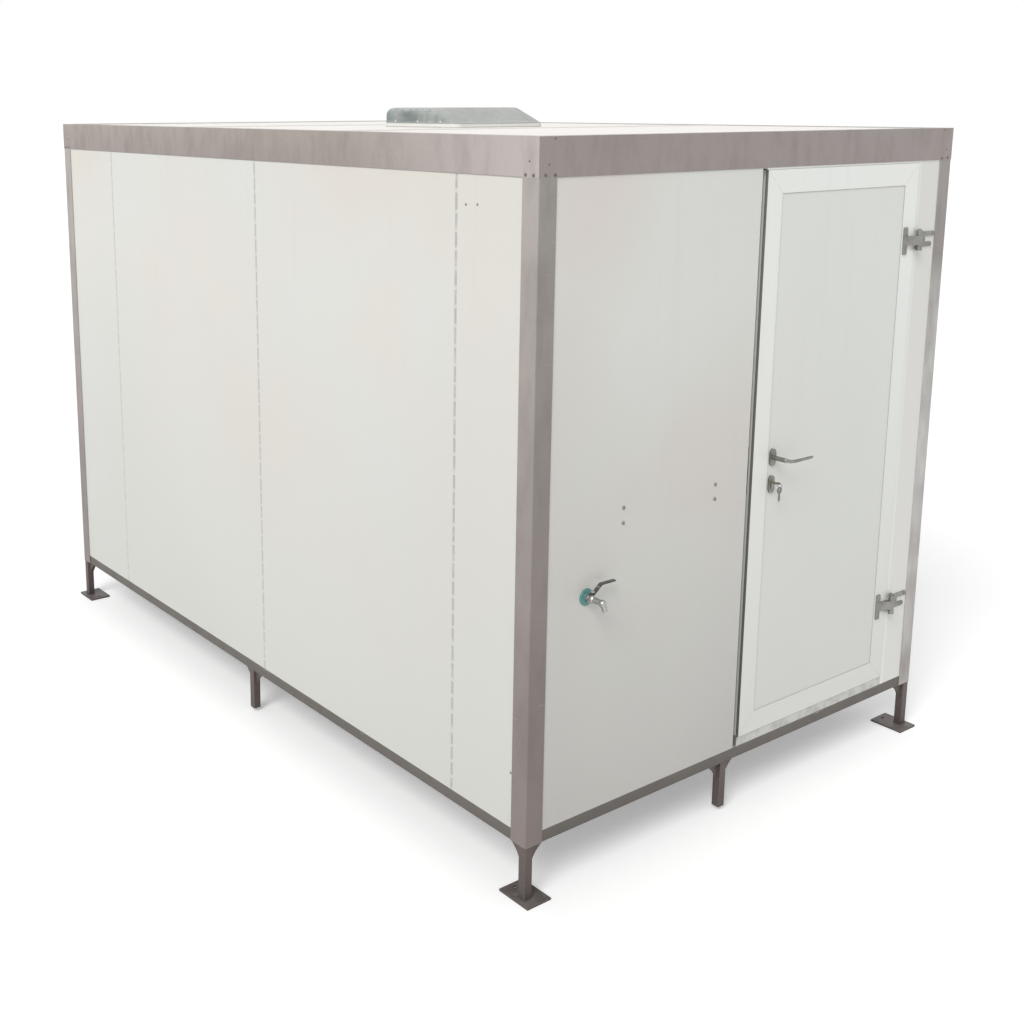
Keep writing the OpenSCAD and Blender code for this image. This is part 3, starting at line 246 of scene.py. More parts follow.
def painted(name, top, low, z_low, z_high, scratch=0.5, rough=0.38, metal=0.25, edge=0.0012, grime=0.4,
            dusty=1.0, near=None, far_post=None, front=None):
    """Semi-gloss painted sheet: lighter towards one height, scuffed, with bright worn edges.

    dusty is how much dust lies on top faces, near the colour it takes towards the front end, far_post that of
    the right-hand posts' middle, and front what the front faces' colour is multiplied by, as painted shade."""
    t = Tree(name)
    shade = t.ramp(t.axis("Z"), z_low, z_high)
    shade = t.plus(shade, t.ramp(t.noise(2.3, 3.0, 0.6), 0.3, 0.7, -0.12, 0.12))
    shade.node.use_clamp = True
    shade = t.math("POWER", shade, 1.4)
    color = t.mix(shade, lin(low), lin(top))
    # Towards the front end the colour turns to near.
    if near:
        color = t.mix(t.ramp(t.axis("Y"), -0.70, -1.60), color, lin(near))
    if far_post:
        blotch = t.ramp(t.noise(3.1, 2.0, 0.5), 0.38, 0.56, 0.45, 1.0)
        z = t.axis("Z")
        middle = t.times(t.ramp(z, 0.30, 0.60, 0.55, 1.0), t.ramp(z, 1.92, 1.76))
        middle = t.times(middle, t.ramp(t.axis("X"), 0.90, 0.95))
        color = t.mix(t.times(middle, blotch), color, lin(far_post))
    # Painted shade: faces turned to the front are multiplied darker, fully at the top and about a third as
    # much low down.
    if front:
        strength = t.ramp(t.axis("Z"), 0.3, 2.2, 0.35, 1.0)
        color = t.mix(t.times(t.facing("Y", -0.5, -0.95), strength), color, lin(front), "MULTIPLY")
    cloud = t.ramp(t.noise(16.0, 4.0, 0.65, t.scaled((1.0, 1.0, 0.35))), 0.45, 0.7)
    color = t.mix(t.times(cloud, 0.22), color, lin((112, 104, 98)))
    lines = t.ramp(t.noise(140.0, 3.0, 0.6, t.scaled((0.06, 0.06, 1.0))), 0.66, 0.72)
    spots = t.ramp(t.noise(7.0, 2.0, 0.5), 0.5, 0.62)
    lines = t.times(t.times(lines, spots), scratch)
    color = t.mix(lines, color, lin((205, 200, 194)))
    worn = t.times(t.edge(edge), t.ramp(t.noise(60.0, 4.0, 0.7), 0.40, 0.62))
    color = t.mix(t.times(worn, 0.55), color, lin((206, 201, 196)))
    dust = t.ramp(t.noise(85.0, 5.0, 0.7), 0.55, 0.75)
    color = t.mix(t.times(dust, grime * 0.35), color, lin((92, 86, 80)))
    layer = t.ramp(t.noise(32.0, 4.0, 0.7), 0.30, 0.60, 0.35 * dusty, 0.85 * dusty)
    settled = t.times(t.upward(), layer)
    color = t.mix(settled, color, lin((206, 201, 195)))
    t.bump([(t.noise(420.0, 2.0, 0.5), 0.12, 0.0006), (lines, 0.12, 0.0003)], edge)
    gloss = t.plus(t.times(cloud, 0.14), rough)
    return t.done(color, gloss, metal)


def metal(name, color, rough=0.32, grain=(1, 1, 40), stain=0.3, metallic=0.9, edge=0.0006):
    """Satin metal with fine drawn lines, finger-dull patches and rounded edges."""
    t = Tree(name)
    lines = t.noise(220.0, 3.0, 0.6, t.scaled(grain))
    patch = t.ramp(t.noise(26.0, 4.0, 0.6), 0.42, 0.7)
    base = t.mix(t.times(patch, stain), lin(color), lin([c * 0.66 for c in color]))
    base = t.mix(t.times(t.edge(edge), 0.35), base, lin([min(255, c * 1.25) for c in color]))
    t.bump([(lines, 0.10, 0.0002)], edge)
    gloss = t.plus(t.times(lines, 0.16), rough - 0.06)
    gloss = t.plus(t.times(patch, 0.12), gloss)
    return t.done(base, gloss, metallic)


def plastic(name, color, rough=0.35, speckle=0.15, edge=0.0012, **more):
    """Moulded plastic or rubber: a fine orange peel, slight cloudiness and dust."""
    t = Tree(name)
    cloud = t.ramp(t.noise(9.0, 3.0, 0.6), 0.35, 0.7)
    base = t.mix(t.times(cloud, speckle), lin(color), lin([c * 0.84 for c in color]))
    t.bump([(t.noise(600.0, 2.0, 0.5), 0.10, 0.0004)], edge)
    gloss = t.plus(t.times(cloud, 0.10), rough)
    return t.done(base, gloss, 0.0, **more)


def edge_rubber(name, top, low):
    """Dusty rubber lip, darker towards the ground as painted shade."""
    t = Tree(name)
    # Painted shade: darker towards the ground.
    base = t.mix(t.ramp(t.axis("Z"), 0.5, 2.1), lin(low), lin(top))
    dust = t.ramp(t.noise(90.0, 4.0, 0.7), 0.5, 0.75)
    base = t.mix(t.times(dust, 0.2), base, lin((150, 148, 142)))
    t.bump([(t.noise(500.0, 2.0, 0.5), 0.2, 0.0003)])
    return t.done(base, 0.62)


def glazed(name):
    """Glazed ceramic with a faint tint and traces of lime."""
    t = Tree(name)
    tint = t.ramp(t.noise(3.0, 2.0, 0.5), 0.35, 0.65)
    base = t.mix(tint, lin((243, 243, 240)), lin((236, 238, 236)))
    lime = t.ramp(t.noise(46.0, 5.0, 0.7), 0.60, 0.75)
    base = t.mix(t.times(lime, 0.12), base, lin((206, 203, 190)))
    t.bump([(t.noise(14.0, 2.0, 0.4), 0.12, 0.002)], 0.003)
    return t.done(base, t.plus(t.times(lime, 0.15), 0.10), 0.0, Coat_Weight=0.5)


def hood(name):
    """Translucent, weathered acrylic: cloudy, greenish grey, with pale dust lying on top."""
    t = Tree(name)
    cloud = t.ramp(t.noise(6.5, 3.0, 0.6, t.scaled((1.0, 1.0, 1.6))), 0.36, 0.64)
    base = t.mix(cloud, lin((140, 152, 149)), lin((196, 202, 199)))
    dusty = t.times(t.upward(), t.ramp(t.noise(22.0, 5.0, 0.7), 0.30, 0.62, 0.45, 1.0))
    base = t.mix(dusty, base, lin((214, 214, 210)))
    shelf = t.ramp(t.axis("Z"), 2.412, 2.403)
    base = t.mix(t.times(shelf, 0.55), base, lin((222, 224, 221)))
    run = t.ramp(t.noise(40.0, 3.0, 0.6, t.scaled((1, 1, 0.2))), 0.5, 0.7)
    base = t.mix(t.times(run, 0.22), base, lin((120, 132, 128)))
    t.bump([(t.noise(9.0, 2.0, 0.5), 0.35, 0.006)], 0.004)
    gloss = t.plus(t.times(dusty, 0.3), 0.16)
    return t.done(base, gloss, 0.0, Transmission_Weight=0.35)


def floor_sheet(name):
    """Grey sheet flooring with small raised pips."""
    t = Tree(name)
    v = t.add("ShaderNodeTexVoronoi")
    t.link(t.co, v.inputs["Vector"])
    v.inputs["Scale"].default_value = 55.0
    v.inputs["Randomness"].default_value = 0.0
    pip = t.ramp(v.outputs["Distance"], 0.30, 0.20)
    cloud = t.ramp(t.noise(6.0, 4.0, 0.6), 0.35, 0.7)
    base = t.mix(cloud, lin((116, 118, 117)), lin((132, 132, 129)))
    base = t.mix(t.times(pip, 0.25), base, lin((148, 149, 147)))
    t.bump([(pip, 0.5, 0.0015)], 0.001)
    return t.done(base, 0.55)


def water(name):
    """Still water, faintly tinted."""
    t = Tree(name)
    ripple = t.noise(5.0, 1.0, 0.4)
    tint = t.mix(t.ramp(ripple, 0.3, 0.7), lin((196, 214, 216)), lin((208, 222, 222)))
    t.bump([(ripple, 0.08, 0.002)])
    return t.done(tint, 0.03, 0.0, Transmission_Weight=0.6, IOR=1.33)


def dashed_sealant(name, offset):
    """Pale sealant in a panel joint, with grey dashes of painted shade where it lies deeper, fainter to the
    back.
    """
    t = Tree(name)
    drift = t.times(t.noise(7.0, 2.0, 0.5), 0.9)
    along = t.times(t.plus(t.axis("Z"), offset), 17.0)
    # Painted shade: grey dashes where the joint lies deeper, broken up at random.
    painted_dash_shade = t.ramp(t.math("FRACT", t.plus(along, drift)), 0.12, 0.26)
    ragged = t.ramp(t.noise(24.0, 4.0, 0.7), 0.32, 0.50, 0.35, 1.0)
    painted_dash_shade = t.times(painted_dash_shade, ragged)
    grey = t.mix(t.ramp(t.axis("Y"), -1.4, 1.1), lin((182, 182, 178)), lin((199, 199, 195)))
    base = t.mix(painted_dash_shade, lin((211, 212, 206)), grey)
    t.bump([(t.noise(260.0, 3.0, 0.6), 0.4, 0.0006)])
    return t.done(base, 0.65)


MATS = {
    # The front colours of the posts and fascias darken their front faces as painted shade.
    "post_steel": painted("steel_posts", (178, 171, 165), (133, 122, 119), 0.25, 2.25, rough=0.30, metal=0.40,
                          far_post=(212, 209, 206), front=(221, 223, 223)),
    "fascia": painted("steel_fascia", (166, 156, 149), (158, 147, 142), 2.27, 2.38, scratch=0.35,
                      near=(190, 181, 178), front=(210, 207, 206)),
    "base_steel": painted("steel_base", (104, 99, 94), (86, 81, 77), 0.1, 0.24, rough=0.5, grime=0.8),
    "leg_steel": painted("steel_legs", (102, 90, 87), (86, 77, 75), 0.0, 0.2, rough=0.52, grime=0.9,
                         scratch=0.3, dusty=0.2),
    "galvanised": metal("galvanised", (158, 158, 153), 0.5, (1, 1, 1), 0.35, 0.75),
    # The foot colours of the coated skins are painted shade towards the ground.
    "panel_white": coated_panel("coated_side", (222, 222, 217), (223, 218, 209), (221, 223, 219),
                                foot=(207, 207, 202)),
    # The front wall's copy is a little lighter than the other walls': painted light that narrows their
    # difference in brightness.
    "panel_front": coated_panel("coated_front", (227, 228, 222), (226, 219, 213), (223, 224, 219), 0.45,
                                foot=(194, 192, 187), right=(228, 227, 223)),
    "panel_roof": coated_panel("coated_roof", (255, 250, 246), (254, 248, 243), (253, 250, 247), 0.0, 0.5),
    "profile_white": coated_panel("door_profile", (245, 247, 242), (245, 245, 240), (243, 246, 242), 0.3, 0.3,
                                  foot=(224, 225, 220)),
    "jamb_white": coated_panel("jamb_profile", (236, 238, 233), (236, 235, 230), (234, 237, 233), 0.3, 0.32),
    "field_grey": coated_panel("door_field", (233, 234, 228), (231, 230, 225), (229, 233, 227), 0.4, 0.4,
                               foot=(219, 220, 215)),
    "floor": floor_sheet("sheet_flooring"),
    # The latch jamb's dark grey is partly its own colour and partly painted shade of the gap beside the leaf.
    "jamb_latch": metal("dark_jamb_gap_shade", (84, 84, 82), 0.5, (1, 1, 0.05), 0.3, 0.4),
    "sill_aluminium": metal("sill_aluminium", (196, 196, 192), 0.42, (0.05, 1, 1), 0.4, 0.75),
    "hinge_steel": metal("hinge_steel", (150, 149, 145), 0.42, (1, 1, 0.1), 0.45, 0.8),
    "lock_steel": metal("lock_steel", (150, 150, 146), 0.34, (1, 1, 0.1), 0.3, 0.9),
    "handle": metal("handle_satin", (142, 141, 136), 0.34, (0.1, 1, 1), 0.4, 0.85),
    "brass": metal("brass", (156, 142, 108), 0.36, (1, 1, 1), 0.35, 0.9),
    "key_steel": metal("key_steel", (128, 127, 122), 0.34, (1, 1, 1), 0.3, 0.9),
    "rubber": plastic("rubber", (38, 38, 38), 0.6),
    "curb": plastic("curb_white", (236, 236, 231), 0.4),
    "dome": hood("hood_acrylic"),
    "flange": plastic("flange_green", (84, 140, 136), 0.32, 0.5),
    "tap_metal": metal("tap_chrome", (176, 176, 174), 0.26, (1, 1, 1), 0.35, 0.9),
    "tap_lever": painted("tap_lever_paint", (52, 52, 51), (46, 46, 45), 0.95, 1.0, rough=0.6, metal=0.0,
                         edge=0.0004, grime=0.2, dusty=0.15),
    "ceramic": glazed("glazed_white"),
    "seat": plastic("seat_white", (238, 238, 234), 0.22, 0.08),
    "button": metal("button_chrome", (190, 190, 190), 0.2, (1, 1, 1), 0.2, 0.9),
    "pipe": plastic("pipe_green", (118, 150, 142), 0.42),
    "waste": plastic("waste_grey", (158, 158, 156), 0.42),
}
SLOTS = {s["node"]: s["material_slot"] for s in frame["record"]["subparts"]}
SPECIAL = {
    "fascia_front": "fascia", "fascia_back": "fascia", "fascia_left": "fascia", "fascia_right": "fascia",
    "corner_legs": "leg_steel", "mid_legs": "leg_steel", "wall_panels_front": "panel_front",
    "roof_panels": "panel_roof", "door_jamb_latch": "jamb_latch", "door_jamb_hinge": "jamb_white",
    "door_head": "jamb_white", "door_stops": "jamb_white",
}
for name, obj in nodes.items():
    mat = MATS[SPECIAL.get(name, SLOTS[name])]
    if obj.data.materials:
        for i in range(len(obj.data.materials)):
            obj.data.materials[i] = mat
    else:
        obj.data.materials.append(mat)


# shapes
class Shape:
    """Collects several closed forms, in metres, into one mesh."""

    def __init__(self):
        self.v, self.f = [], []

    def add(self, verts, faces):
        n = len(self.v)
        self.v += [Vector(v) for v in verts]
        self.f += [[i + n for i in f] for f in faces]

    def loft(self, rings, closed=False):
        """Skin over rings of equally many points, from the last back to the first if closed, else capped."""
        n, last = len(rings[0]), len(rings) - 1
        faces = []
        for k in range(last + closed):
            a, b = k * n, (k + 1) % len(rings) * n
            faces += [[a + i, a + (i + 1) % n, b + (i + 1) % n, b + i] for i in range(n)]
        if not closed:
            faces += [list(range(n))[::-1], [last * n + i for i in range(n)]]
        self.add([p for ring in rings for p in ring], faces)

    def box(self, lo, hi, chamfer=0.0):
        """Box between two corners, with its edges chamfered."""
        lo, hi = Vector(lo), Vector(hi)
        bm = bmesh.new()
        bmesh.ops.create_cube(bm, size=1.0)
        for v in bm.verts:
            v.co = Vector([lo[i] if v.co[i] < 0 else hi[i] for i in range(3)])
        if chamfer:
            bmesh.ops.bevel(bm, geom=bm.edges[:], offset=chamfer, segments=2, affect="EDGES", profile=0.6)
        bm.verts.index_update()
        self.add([v.co.copy() for v in bm.verts], [[v.index for v in f.verts] for f in bm.faces])
        bm.free()

    def turn(self, centre, axis, profile, segments=24, closed=False):
        """Form turned about an axis, from a profile of (radius, height along the axis)."""
        axis = Vector(axis).normalized()
        side = axis.orthogonal().normalized()
        other = axis.cross(side)
        centre = Vector(centre)
        self.loft([[centre + axis * h + (side * c + other * q) * r for c, q in circle(segments)]
                   for r, h in profile], closed)

    def tube(self, points, radius, sides=8, swell=None):
        """Round tube along points. swell gives a factor of the radius at each point."""
        points = [Vector(p) for p in points]
        rings, ref = [], None
        for i, p in enumerate(points):
            d = (points[min(len(points) - 1, i + 1)] - points[max(0, i - 1)]).normalized()
            if ref is None:
                ref = d.orthogonal().normalized()
            ref = (ref - d * ref.dot(d)).normalized()
            other = d.cross(ref)
            r = radius * (swell[i] if swell else 1.0)
            rings.append([p + (ref * c + other * q) * r for c, q in circle(sides)])
        self.loft(rings)

    def make(self, name, mat, body="cabin", *, slot, smooth=True):
        """Object that rides on a body, with its faces turned outwards."""
        mesh = bpy.data.meshes.new(name)
        mesh.from_pydata([tuple(v) for v in self.v], [], self.f)
        mesh.validate()
        bm = bmesh.new()
        bm.from_mesh(mesh)
        bmesh.ops.recalc_face_normals(bm, faces=bm.faces)
        bm.to_mesh(mesh)
        bm.free()
        obj = bpy.data.objects.new(name, mesh)
        bpy.context.scene.collection.objects.link(obj)
        mesh.materials.append(mat)
        for p in mesh.polygons:
            p.use_smooth = smooth
        if smooth:
            mesh.set_sharp_from_angle(angle=math.radians(38))
        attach(obj, body)


# Profiles of small heads, as shares of their radius and, for the screw, of its height.
SCREW = [(1.35, 0.0), (1.35, 0.25), (1.28, 0.32), (1.0, 0.34), (0.97, 0.62), (0.78, 0.9), (0.45, 1.0),
         (0.405, 0.55)]
RIVET = [(1.0, 0.0), (1.0, 0.12), (0.86, 0.34), (0.55, 0.48), (0.34, 0.52), (0.30, 0.36), (0.2, 0.36),
         (0.18, 0.5)]


def screw(shape, centre, axis, r, h):
    """Button head with a socket, on its washer."""
    shape.turn(centre, axis, [(r * a, h * b) for a, b in SCREW], 20)


def rivet(shape, centre, axis, r):
    """Blind rivet: a low dome with the stub of its mandrel."""
    shape.turn(centre, axis, [(r * a, r * b) for a, b in RIVET], 18)


def countersunk(shape, centre, axis, r):
    """Head that lies flush, with a socket."""
    shape.turn(centre, axis, [(r, -0.0002), (r, 0.0004), (r * 0.92, 0.0007), (r * 0.5, 0.0007),
                              (r * 0.45, -0.0012)], 18)


def weld(shape, points, r, step=0.0035):
    """Weld bead along a line of points: a tube that swells with each puddle."""
    path, swell = [], []
    for a, b in zip(points, points[1:]):
        a, b = Vector(a), Vector(b)
        n = max(2, int((b - a).length / step))
        for i in range(n + 1 if b == Vector(points[-1]) else n):
            p = a.lerp(b, i / n)
            path.append(p + Vector([random.uniform(-1, 1) * r * 0.14 for _ in range(3)]))
            swell.append(0.86 + 0.2 * (i % 2) + random.uniform(-0.08, 0.08))
    shape.tube(path, r, 7, swell)


def run(shape, a, b, r, sides=8):
    """Straight round bead between two points, all in millimetres."""
    a, b = at(*a), at(*b)
    shape.tube([a, a.lerp(b, 0.5), b], r / 1000, sides)


def slab(shape, lo, hi, chamfer=0.0):
    """Box between two corners, all in millimetres."""
    shape.box(at(*lo), at(*hi), chamfer / 1000)


# small fittings' materials
zinc = metal("zinc_fastener", (150, 148, 143), 0.42, (1, 1, 1), 0.4, 0.8, 0.0003)
dull = metal("dull_fastener", (120, 114, 108), 0.5, (1, 1, 1), 0.4, 0.6, 0.0003)
weld_steel = metal("weld_steel", (92, 86, 82), 0.55, (1, 1, 1), 0.4, 0.45, 0.0004)
sealant = plastic("grey_sealant", (188, 187, 183), 0.6, 0.3)
white_cap = plastic("white_cap", (228, 228, 224), 0.4)
mitre_line = plastic("joint_line", (186, 188, 184), 0.6)
side_joint = dashed_sealant("joint_side", 0.0)
back_joint = dashed_sealant("joint_back", 0.021)
roof_cap = coated_panel("roof_cap", (226, 222, 217), (229, 221, 216), (223, 222, 219), 0.0, 0.5)
gasket = plastic("grey_gasket", (176, 178, 175), 0.55)

# The faces of the wall panels lie behind the posts' faces by the sheet's thickness.
LEFT, RIGHT, FRONT, BACK = SHEET, WIDTH - SHEET, SHEET, LENGTH - SHEET

# panel joints
for tag, x, out in (("left", LEFT, -1), ("right", RIGHT, 1)):
    lo, hi = sorted((x + out * 0.4, x - out * 1.6))
    s = Shape()
    for y in (371.0, 1575.0, 2838.0):
        slab(s, (lo, y - 5.5, 42), (hi, y + 5.5, POST_H - 1), 0.3)
    s.make("joint_sealant_" + tag, side_joint, slot="panel_white")
s = Shape()
slab(s, (WIDTH / 2 - 4.0, BACK - 1.6, 42), (WIDTH / 2 + 4.0, BACK + 0.4, POST_H - 1), 0.3)
s.make("joint_sealant_back", back_joint, slot="panel_white")

# Bead along the posts' free edges and under the fascias, where the panels slip behind the steel.
s = Shape()
past = POST + 0.6
for x, y in ((LEFT, past), (RIGHT, past), (LEFT, LENGTH - past), (RIGHT, LENGTH - past),
             (past, FRONT), (past, BACK), (WIDTH - past, BACK), (WIDTH - past, FRONT)):
    run(s, (x, y, 41), (x, y, POST_H), 1.1)
for (x0, y0), (x1, y1) in (((LEFT, POST), (LEFT, LENGTH - POST)), ((RIGHT, POST), (RIGHT, LENGTH - POST)),
                           ((POST, FRONT), (1011, FRONT)), ((POST, BACK), (WIDTH - POST, BACK))):
    run(s, (x0, y0, POST_H - 0.6), (x1, y1, POST_H - 0.6), 1.2)
s.make("edge_sealant", sealant, slot="panel_white")

# roof: the panels' edges inside the fascias, and their top
X0, X1, Y0, Y1, ROOF_Z = 61.0, WIDTH - 61.0, 61.0, LENGTH - 61.0, 2197.0
# The rooflight's middle, half its width, its corners' radius, and the heights of its seat and its rivets.
LIGHT_X, LIGHT_Y, LIGHT_HALF, LIGHT_R = WIDTH / 2, 1600.0, 242.0, 38.0
SEAT_Z, RIVET_Z = ROOF_Z + 16.0, ROOF_Z + 24.0

# Caps over the panels' joints, with a bead on both sides.
s = Shape()
for y in (1121.0, 2239.0):
    slab(s, (X0, y - 34, ROOF_Z - 0.1), (X1, y + 34, ROOF_Z + 1.3), 0.6)
    for side in (-34, 34):
        run(s, (X0, y + side, ROOF_Z + 0.2), (X1, y + side, ROOF_Z + 0.2), 1.8)
s.make("roof_joint_caps", roof_cap, slot="panel_white")


def round_loop(grow, z):
    """Closed path round the rooflight, the given distance outside its sides."""
    pts = []
    for cx, cy, a0 in ((1, 1, 0), (-1, 1, 90), (-1, -1, 180), (1, -1, 270)):
        for k in range(9):
            a = math.radians(a0 + 90 * k / 8)
            pts.append(at(LIGHT_X + cx * (LIGHT_HALF - LIGHT_R) + (LIGHT_R + grow) * math.cos(a),
                          LIGHT_Y + cy * (LIGHT_HALF - LIGHT_R) + (LIGHT_R + grow) * math.sin(a), z))
    return pts + [pts[0]]


# Beads along the fascias and round the rooflight's curb.
s = Shape()
for a, b in (((X0, Y0), (X1, Y0)), ((X0, Y1), (X1, Y1)), ((X0, Y0), (X0, Y1)), ((X1, Y0), (X1, Y1))):
    run(s, (*a, ROOF_Z + 0.6), (*b, ROOF_Z + 0.6), 2.0)
s.tube(round_loop(1.2, ROOF_Z + 1.0), 0.0022, 8)
s.make("roof_sealant", sealant, slot="panel_white")
s = Shape()
s.tube(round_loop(-0.6, SEAT_Z), 0.0016, 8)
s.make("rooflight_gasket", gasket, slot="rubber")

# The sloping front of the hood rises from its lower edge and touches the rounded shoulder, whose centre is
# half the hood's height over that edge, and SHOULDER_Y in front of the rooflight's middle.
HALF_RISE, SHOULDER_Y = 31.5, 86.0
slope = max(math.atan2(HALF_RISE * (1 + math.sin(a)), LIGHT_HALF - SHOULDER_Y + LIGHT_R * math.cos(a))
            for a in [math.radians(k) for k in range(45, 180)])
up, back = math.sin(slope), math.cos(slope)
s = Shape()
for d in (-150, 0, 150):
    for side in (-1, 1):
        rivet(s, at(LIGHT_X + side * LIGHT_HALF, LIGHT_Y + d, RIVET_Z), (side, 0, 0), 0.0045)
    rivet(s, at(LIGHT_X + d, LIGHT_Y + LIGHT_HALF, RIVET_Z), (0, 1, 0), 0.0045)
    rivet(s, at(LIGHT_X + d, LIGHT_Y - LIGHT_HALF + 16 * back, SEAT_Z + 16 * up), (0, -up, back), 0.0045)
s.make("rooflight_screws", white_cap, slot="curb")

# screws and rivets on the shell
s = Shape()
for mx in (False, True):
    for my in (False, True):
        def on_side(y, z, r=0.0050):
            """Rivet on a side of the cabin, at the distance y from this corner."""
            rivet(s, at(WIDTH if mx else 0.0, LENGTH - y if my else y, z), (1 if mx else -1, 0, 0), r)

        def on_end(x, z, r=0.0050):
            """Rivet on the front or back, at the distance x from this corner."""
            rivet(s, at(WIDTH - x if mx else x, LENGTH if my else 0.0, z), (0, 1 if my else -1, 0), r)

        on_side(57, 2091)
        on_side(23, 2090)
        on_end(25, 2091)
        on_end(62, 2090)
        on_end(60, 2193, 0.003)
        on_side(41, 2130, 0.003)
        on_end(38, 2121, 0.003)
s.make("fascia_rivets", dull, slot="post_steel")

# The screws of the washbasin's brackets, outside and inside, and three rivets on the left wall.
s = Shape()
for x in (392.0, 828.0):
    for z in (1042.0, 992.0):
        screw(s, at(x, FRONT, z), (0, -1, 0), 0.0048, 0.0045)
        screw(s, at(x, 58.0, z - 4), (0, 1, 0), 0.0052, 0.005)
for y, z in ((325.0, 1991.0), (271.0, 1994.0), (78.0, 227.0)):
    rivet(s, at(LEFT, y, z), (-1, 0, 0), 0.0042)
s.make("wall_screws", zinc, slot="lock_steel")


# base frame: gussets with a flatter curve over the solids' thinner ones, and welds
# Half the leg's side, and its middle's distance from the posts' faces.
LEG_HALF, LEG_IN = 15.0, 18.0
# The gussets' length, height, half their thickness, the width of their ends and how flat their curve is.
REACH, DROP, HALF, TIP, BEND = 62.0, 66.0, 3.5, 5.0, 0.36


def gusset(shape, place):
    """Plate from the rail down to the leg. place gives the point for (from the leg, across, z)."""
    edge = [(0.0, 0.3), (REACH, 0.3)]
    for i in range(9):
        t = i / 8
        a, b, c = (1 - t) ** 2, 2 * t * (1 - t), t ** 2
        edge.append((a * REACH + b * BEND * REACH + c * TIP, -a * TIP - b * BEND * DROP - c * DROP))
    edge.append((0.0, -DROP))
    shape.loft([[place(u, side, z) for u, z in edge] for side in (-HALF, HALF)])


def gusset_weld(shape, place, side):
    """Weld on one side of a gusset, up the leg and along the rail."""
    v = side * (HALF + 0.4)
    weld(shape, [place(0.6, v, 1 - DROP), place(0.6, v, -1), place(REACH - 2, v, -0.8)], 0.0020)


def leg_weld(shape, place, z, r):
    """Weld round a leg. place gives the point for (x, y, z) from the leg's middle."""
    e = LEG_HALF + 0.8
    weld(shape, [place(x, y, z) for x, y in ((-e, -e), (e, -e), (e, e), (-e, e), (-e, -e))], r)


s, plates = Shape(), Shape()
for sx in (0, 1):
    for sy in (0, 1):
        def corner(x, y, z):
            """Point measured from the leg's middle in this corner, towards the cabin's middle."""
            x, y = LEG_IN + x, LEG_IN + y
            return at(WIDTH - x if sx else x, LENGTH - y if sy else y, z)

        def along_x(u, v, z):
            return corner(LEG_HALF + u, v, z)

        def along_y(u, v, z):
            return corner(v, LEG_HALF + u, z)

        for z in (-181.6, -0.6):
            leg_weld(s, corner, z, 0.0022)
        gusset(plates, along_x)
        gusset(plates, along_y)
        for side in (-1, 1):
            gusset_weld(s, along_x, side)
            gusset_weld(s, along_y, side)
        # The front rail butts against the side rail.
        weld(s, [corner(25, -15.2, z) for z in (1, 39)], 0.0018)
        # Post on the rail.
        weld(s, [corner(x, -16.8, 0.8) for x in (-14, 51)], 0.0011)
        weld(s, [corner(-16.8, y, 0.8) for y in (-14, 51)], 0.0011)
for cx, cy, turned in ((950, 23, 0), (950, 3337, 0), (23, 1690, 1), (2057, 1690, 1)):
    def middle(u, v, z):
        """Point measured from this middle leg, along its rail and across it."""
        return at(cx + (v if turned else u), cy + (u if turned else v), z)

    leg_weld(s, middle, -0.6, 0.0024)
    for way in (-1, 1):
        def outwards(u, v, z):
            return middle(way * (LEG_HALF + u), v, z)

        gusset(plates, outwards)
        for side in (-1, 1):
            gusset_weld(s, outwards, side)
s.make("weld_beads", weld_steel, slot="base_steel")
plates.make("leg_gussets", MATS["leg_steel"], smooth=False, slot="base_steel")

# door: the leaf's edges, and inside its profile those of its field
LEAF0, LEAF1, LEAFZ, LEAFTOP, PROFILE = 1017.0, 1875.0, 75.0, 2076.0, 78.0
FIELD0, FIELD1, FIELDZ, FIELDTOP = LEAF0 + PROFILE, LEAF1 - PROFILE, LEAFZ + PROFILE, LEAFTOP - PROFILE

# A rounded bead in the step between the profile and the field, on both faces of the leaf.
s = Shape()
x0, x1, z0, z1 = FIELD0 + 0.6, FIELD1 - 0.6, FIELDZ + 0.6, FIELDTOP - 0.6
for y in (1.0, 43.0):
    for xa, za, xb, zb in ((x0, z0, x1, z0), (x0, z1, x1, z1), (x0, z0, x0, z1), (x1, z0, x1, z1)):
        run(s, (xa, y, za), (xb, y, zb), 1.15, 10)
s.make("field_bead", sealant, "door", slot="profile_white")

# Lines where the profile's lengths meet in its corners.
s = Shape()
for y in (0.0, 44.0):
    for x0, z0, x1, z1 in ((LEAF0, LEAFZ, FIELD0, FIELDZ), (LEAF1, LEAFZ, FIELD1, FIELDZ),
                           (LEAF0, LEAFTOP, FIELD0, FIELDTOP), (LEAF1, LEAFTOP, FIELD1, FIELDTOP)):
        a, b = at(x0, y, z0), at(x1, y, z1)
        a, b = a.lerp(b, 0.02), a.lerp(b, 0.98)
        s.tube([a, a.lerp(b, 0.5), b], 0.0003, 6)
s.make("door_mitres", mitre_line, "door", slot="profile_white")

# Dark ribbed lip along the leaf's lock edge, in front of the lock's face plate: partly a rubber seal and
# partly painted shade of the gap beside the leaf.
RIBS = [(0.0, 0.8), (-0.5, 0.8), (-0.5, 3.2), (-0.95, 4.0), (-0.5, 4.8), (-0.5, 7.2), (-0.95, 8.0),
        (-0.5, 8.8), (-0.5, 12.0), (0.0, 12.0)]
s = Shape()
s.loft([[at(LEAF0 + dx, y, z) for dx, y in RIBS] for z in (LEAFZ + 1.0, LEAFTOP - 1.0)])
s.make("lock_edge_lip", edge_rubber("lock_edge_rubber", (116, 115, 111), (88, 87, 83)), "door", slot="rubber")

# Pale weather strip that hangs from the head, in front of the gap over the leaf.
s = Shape()
slab(s, (1012, 0.8, 2076.6), (1877.6, 2.9, 2083.9), 0.5)
s.make("head_weather_strip", white_cap, slot="profile_white")

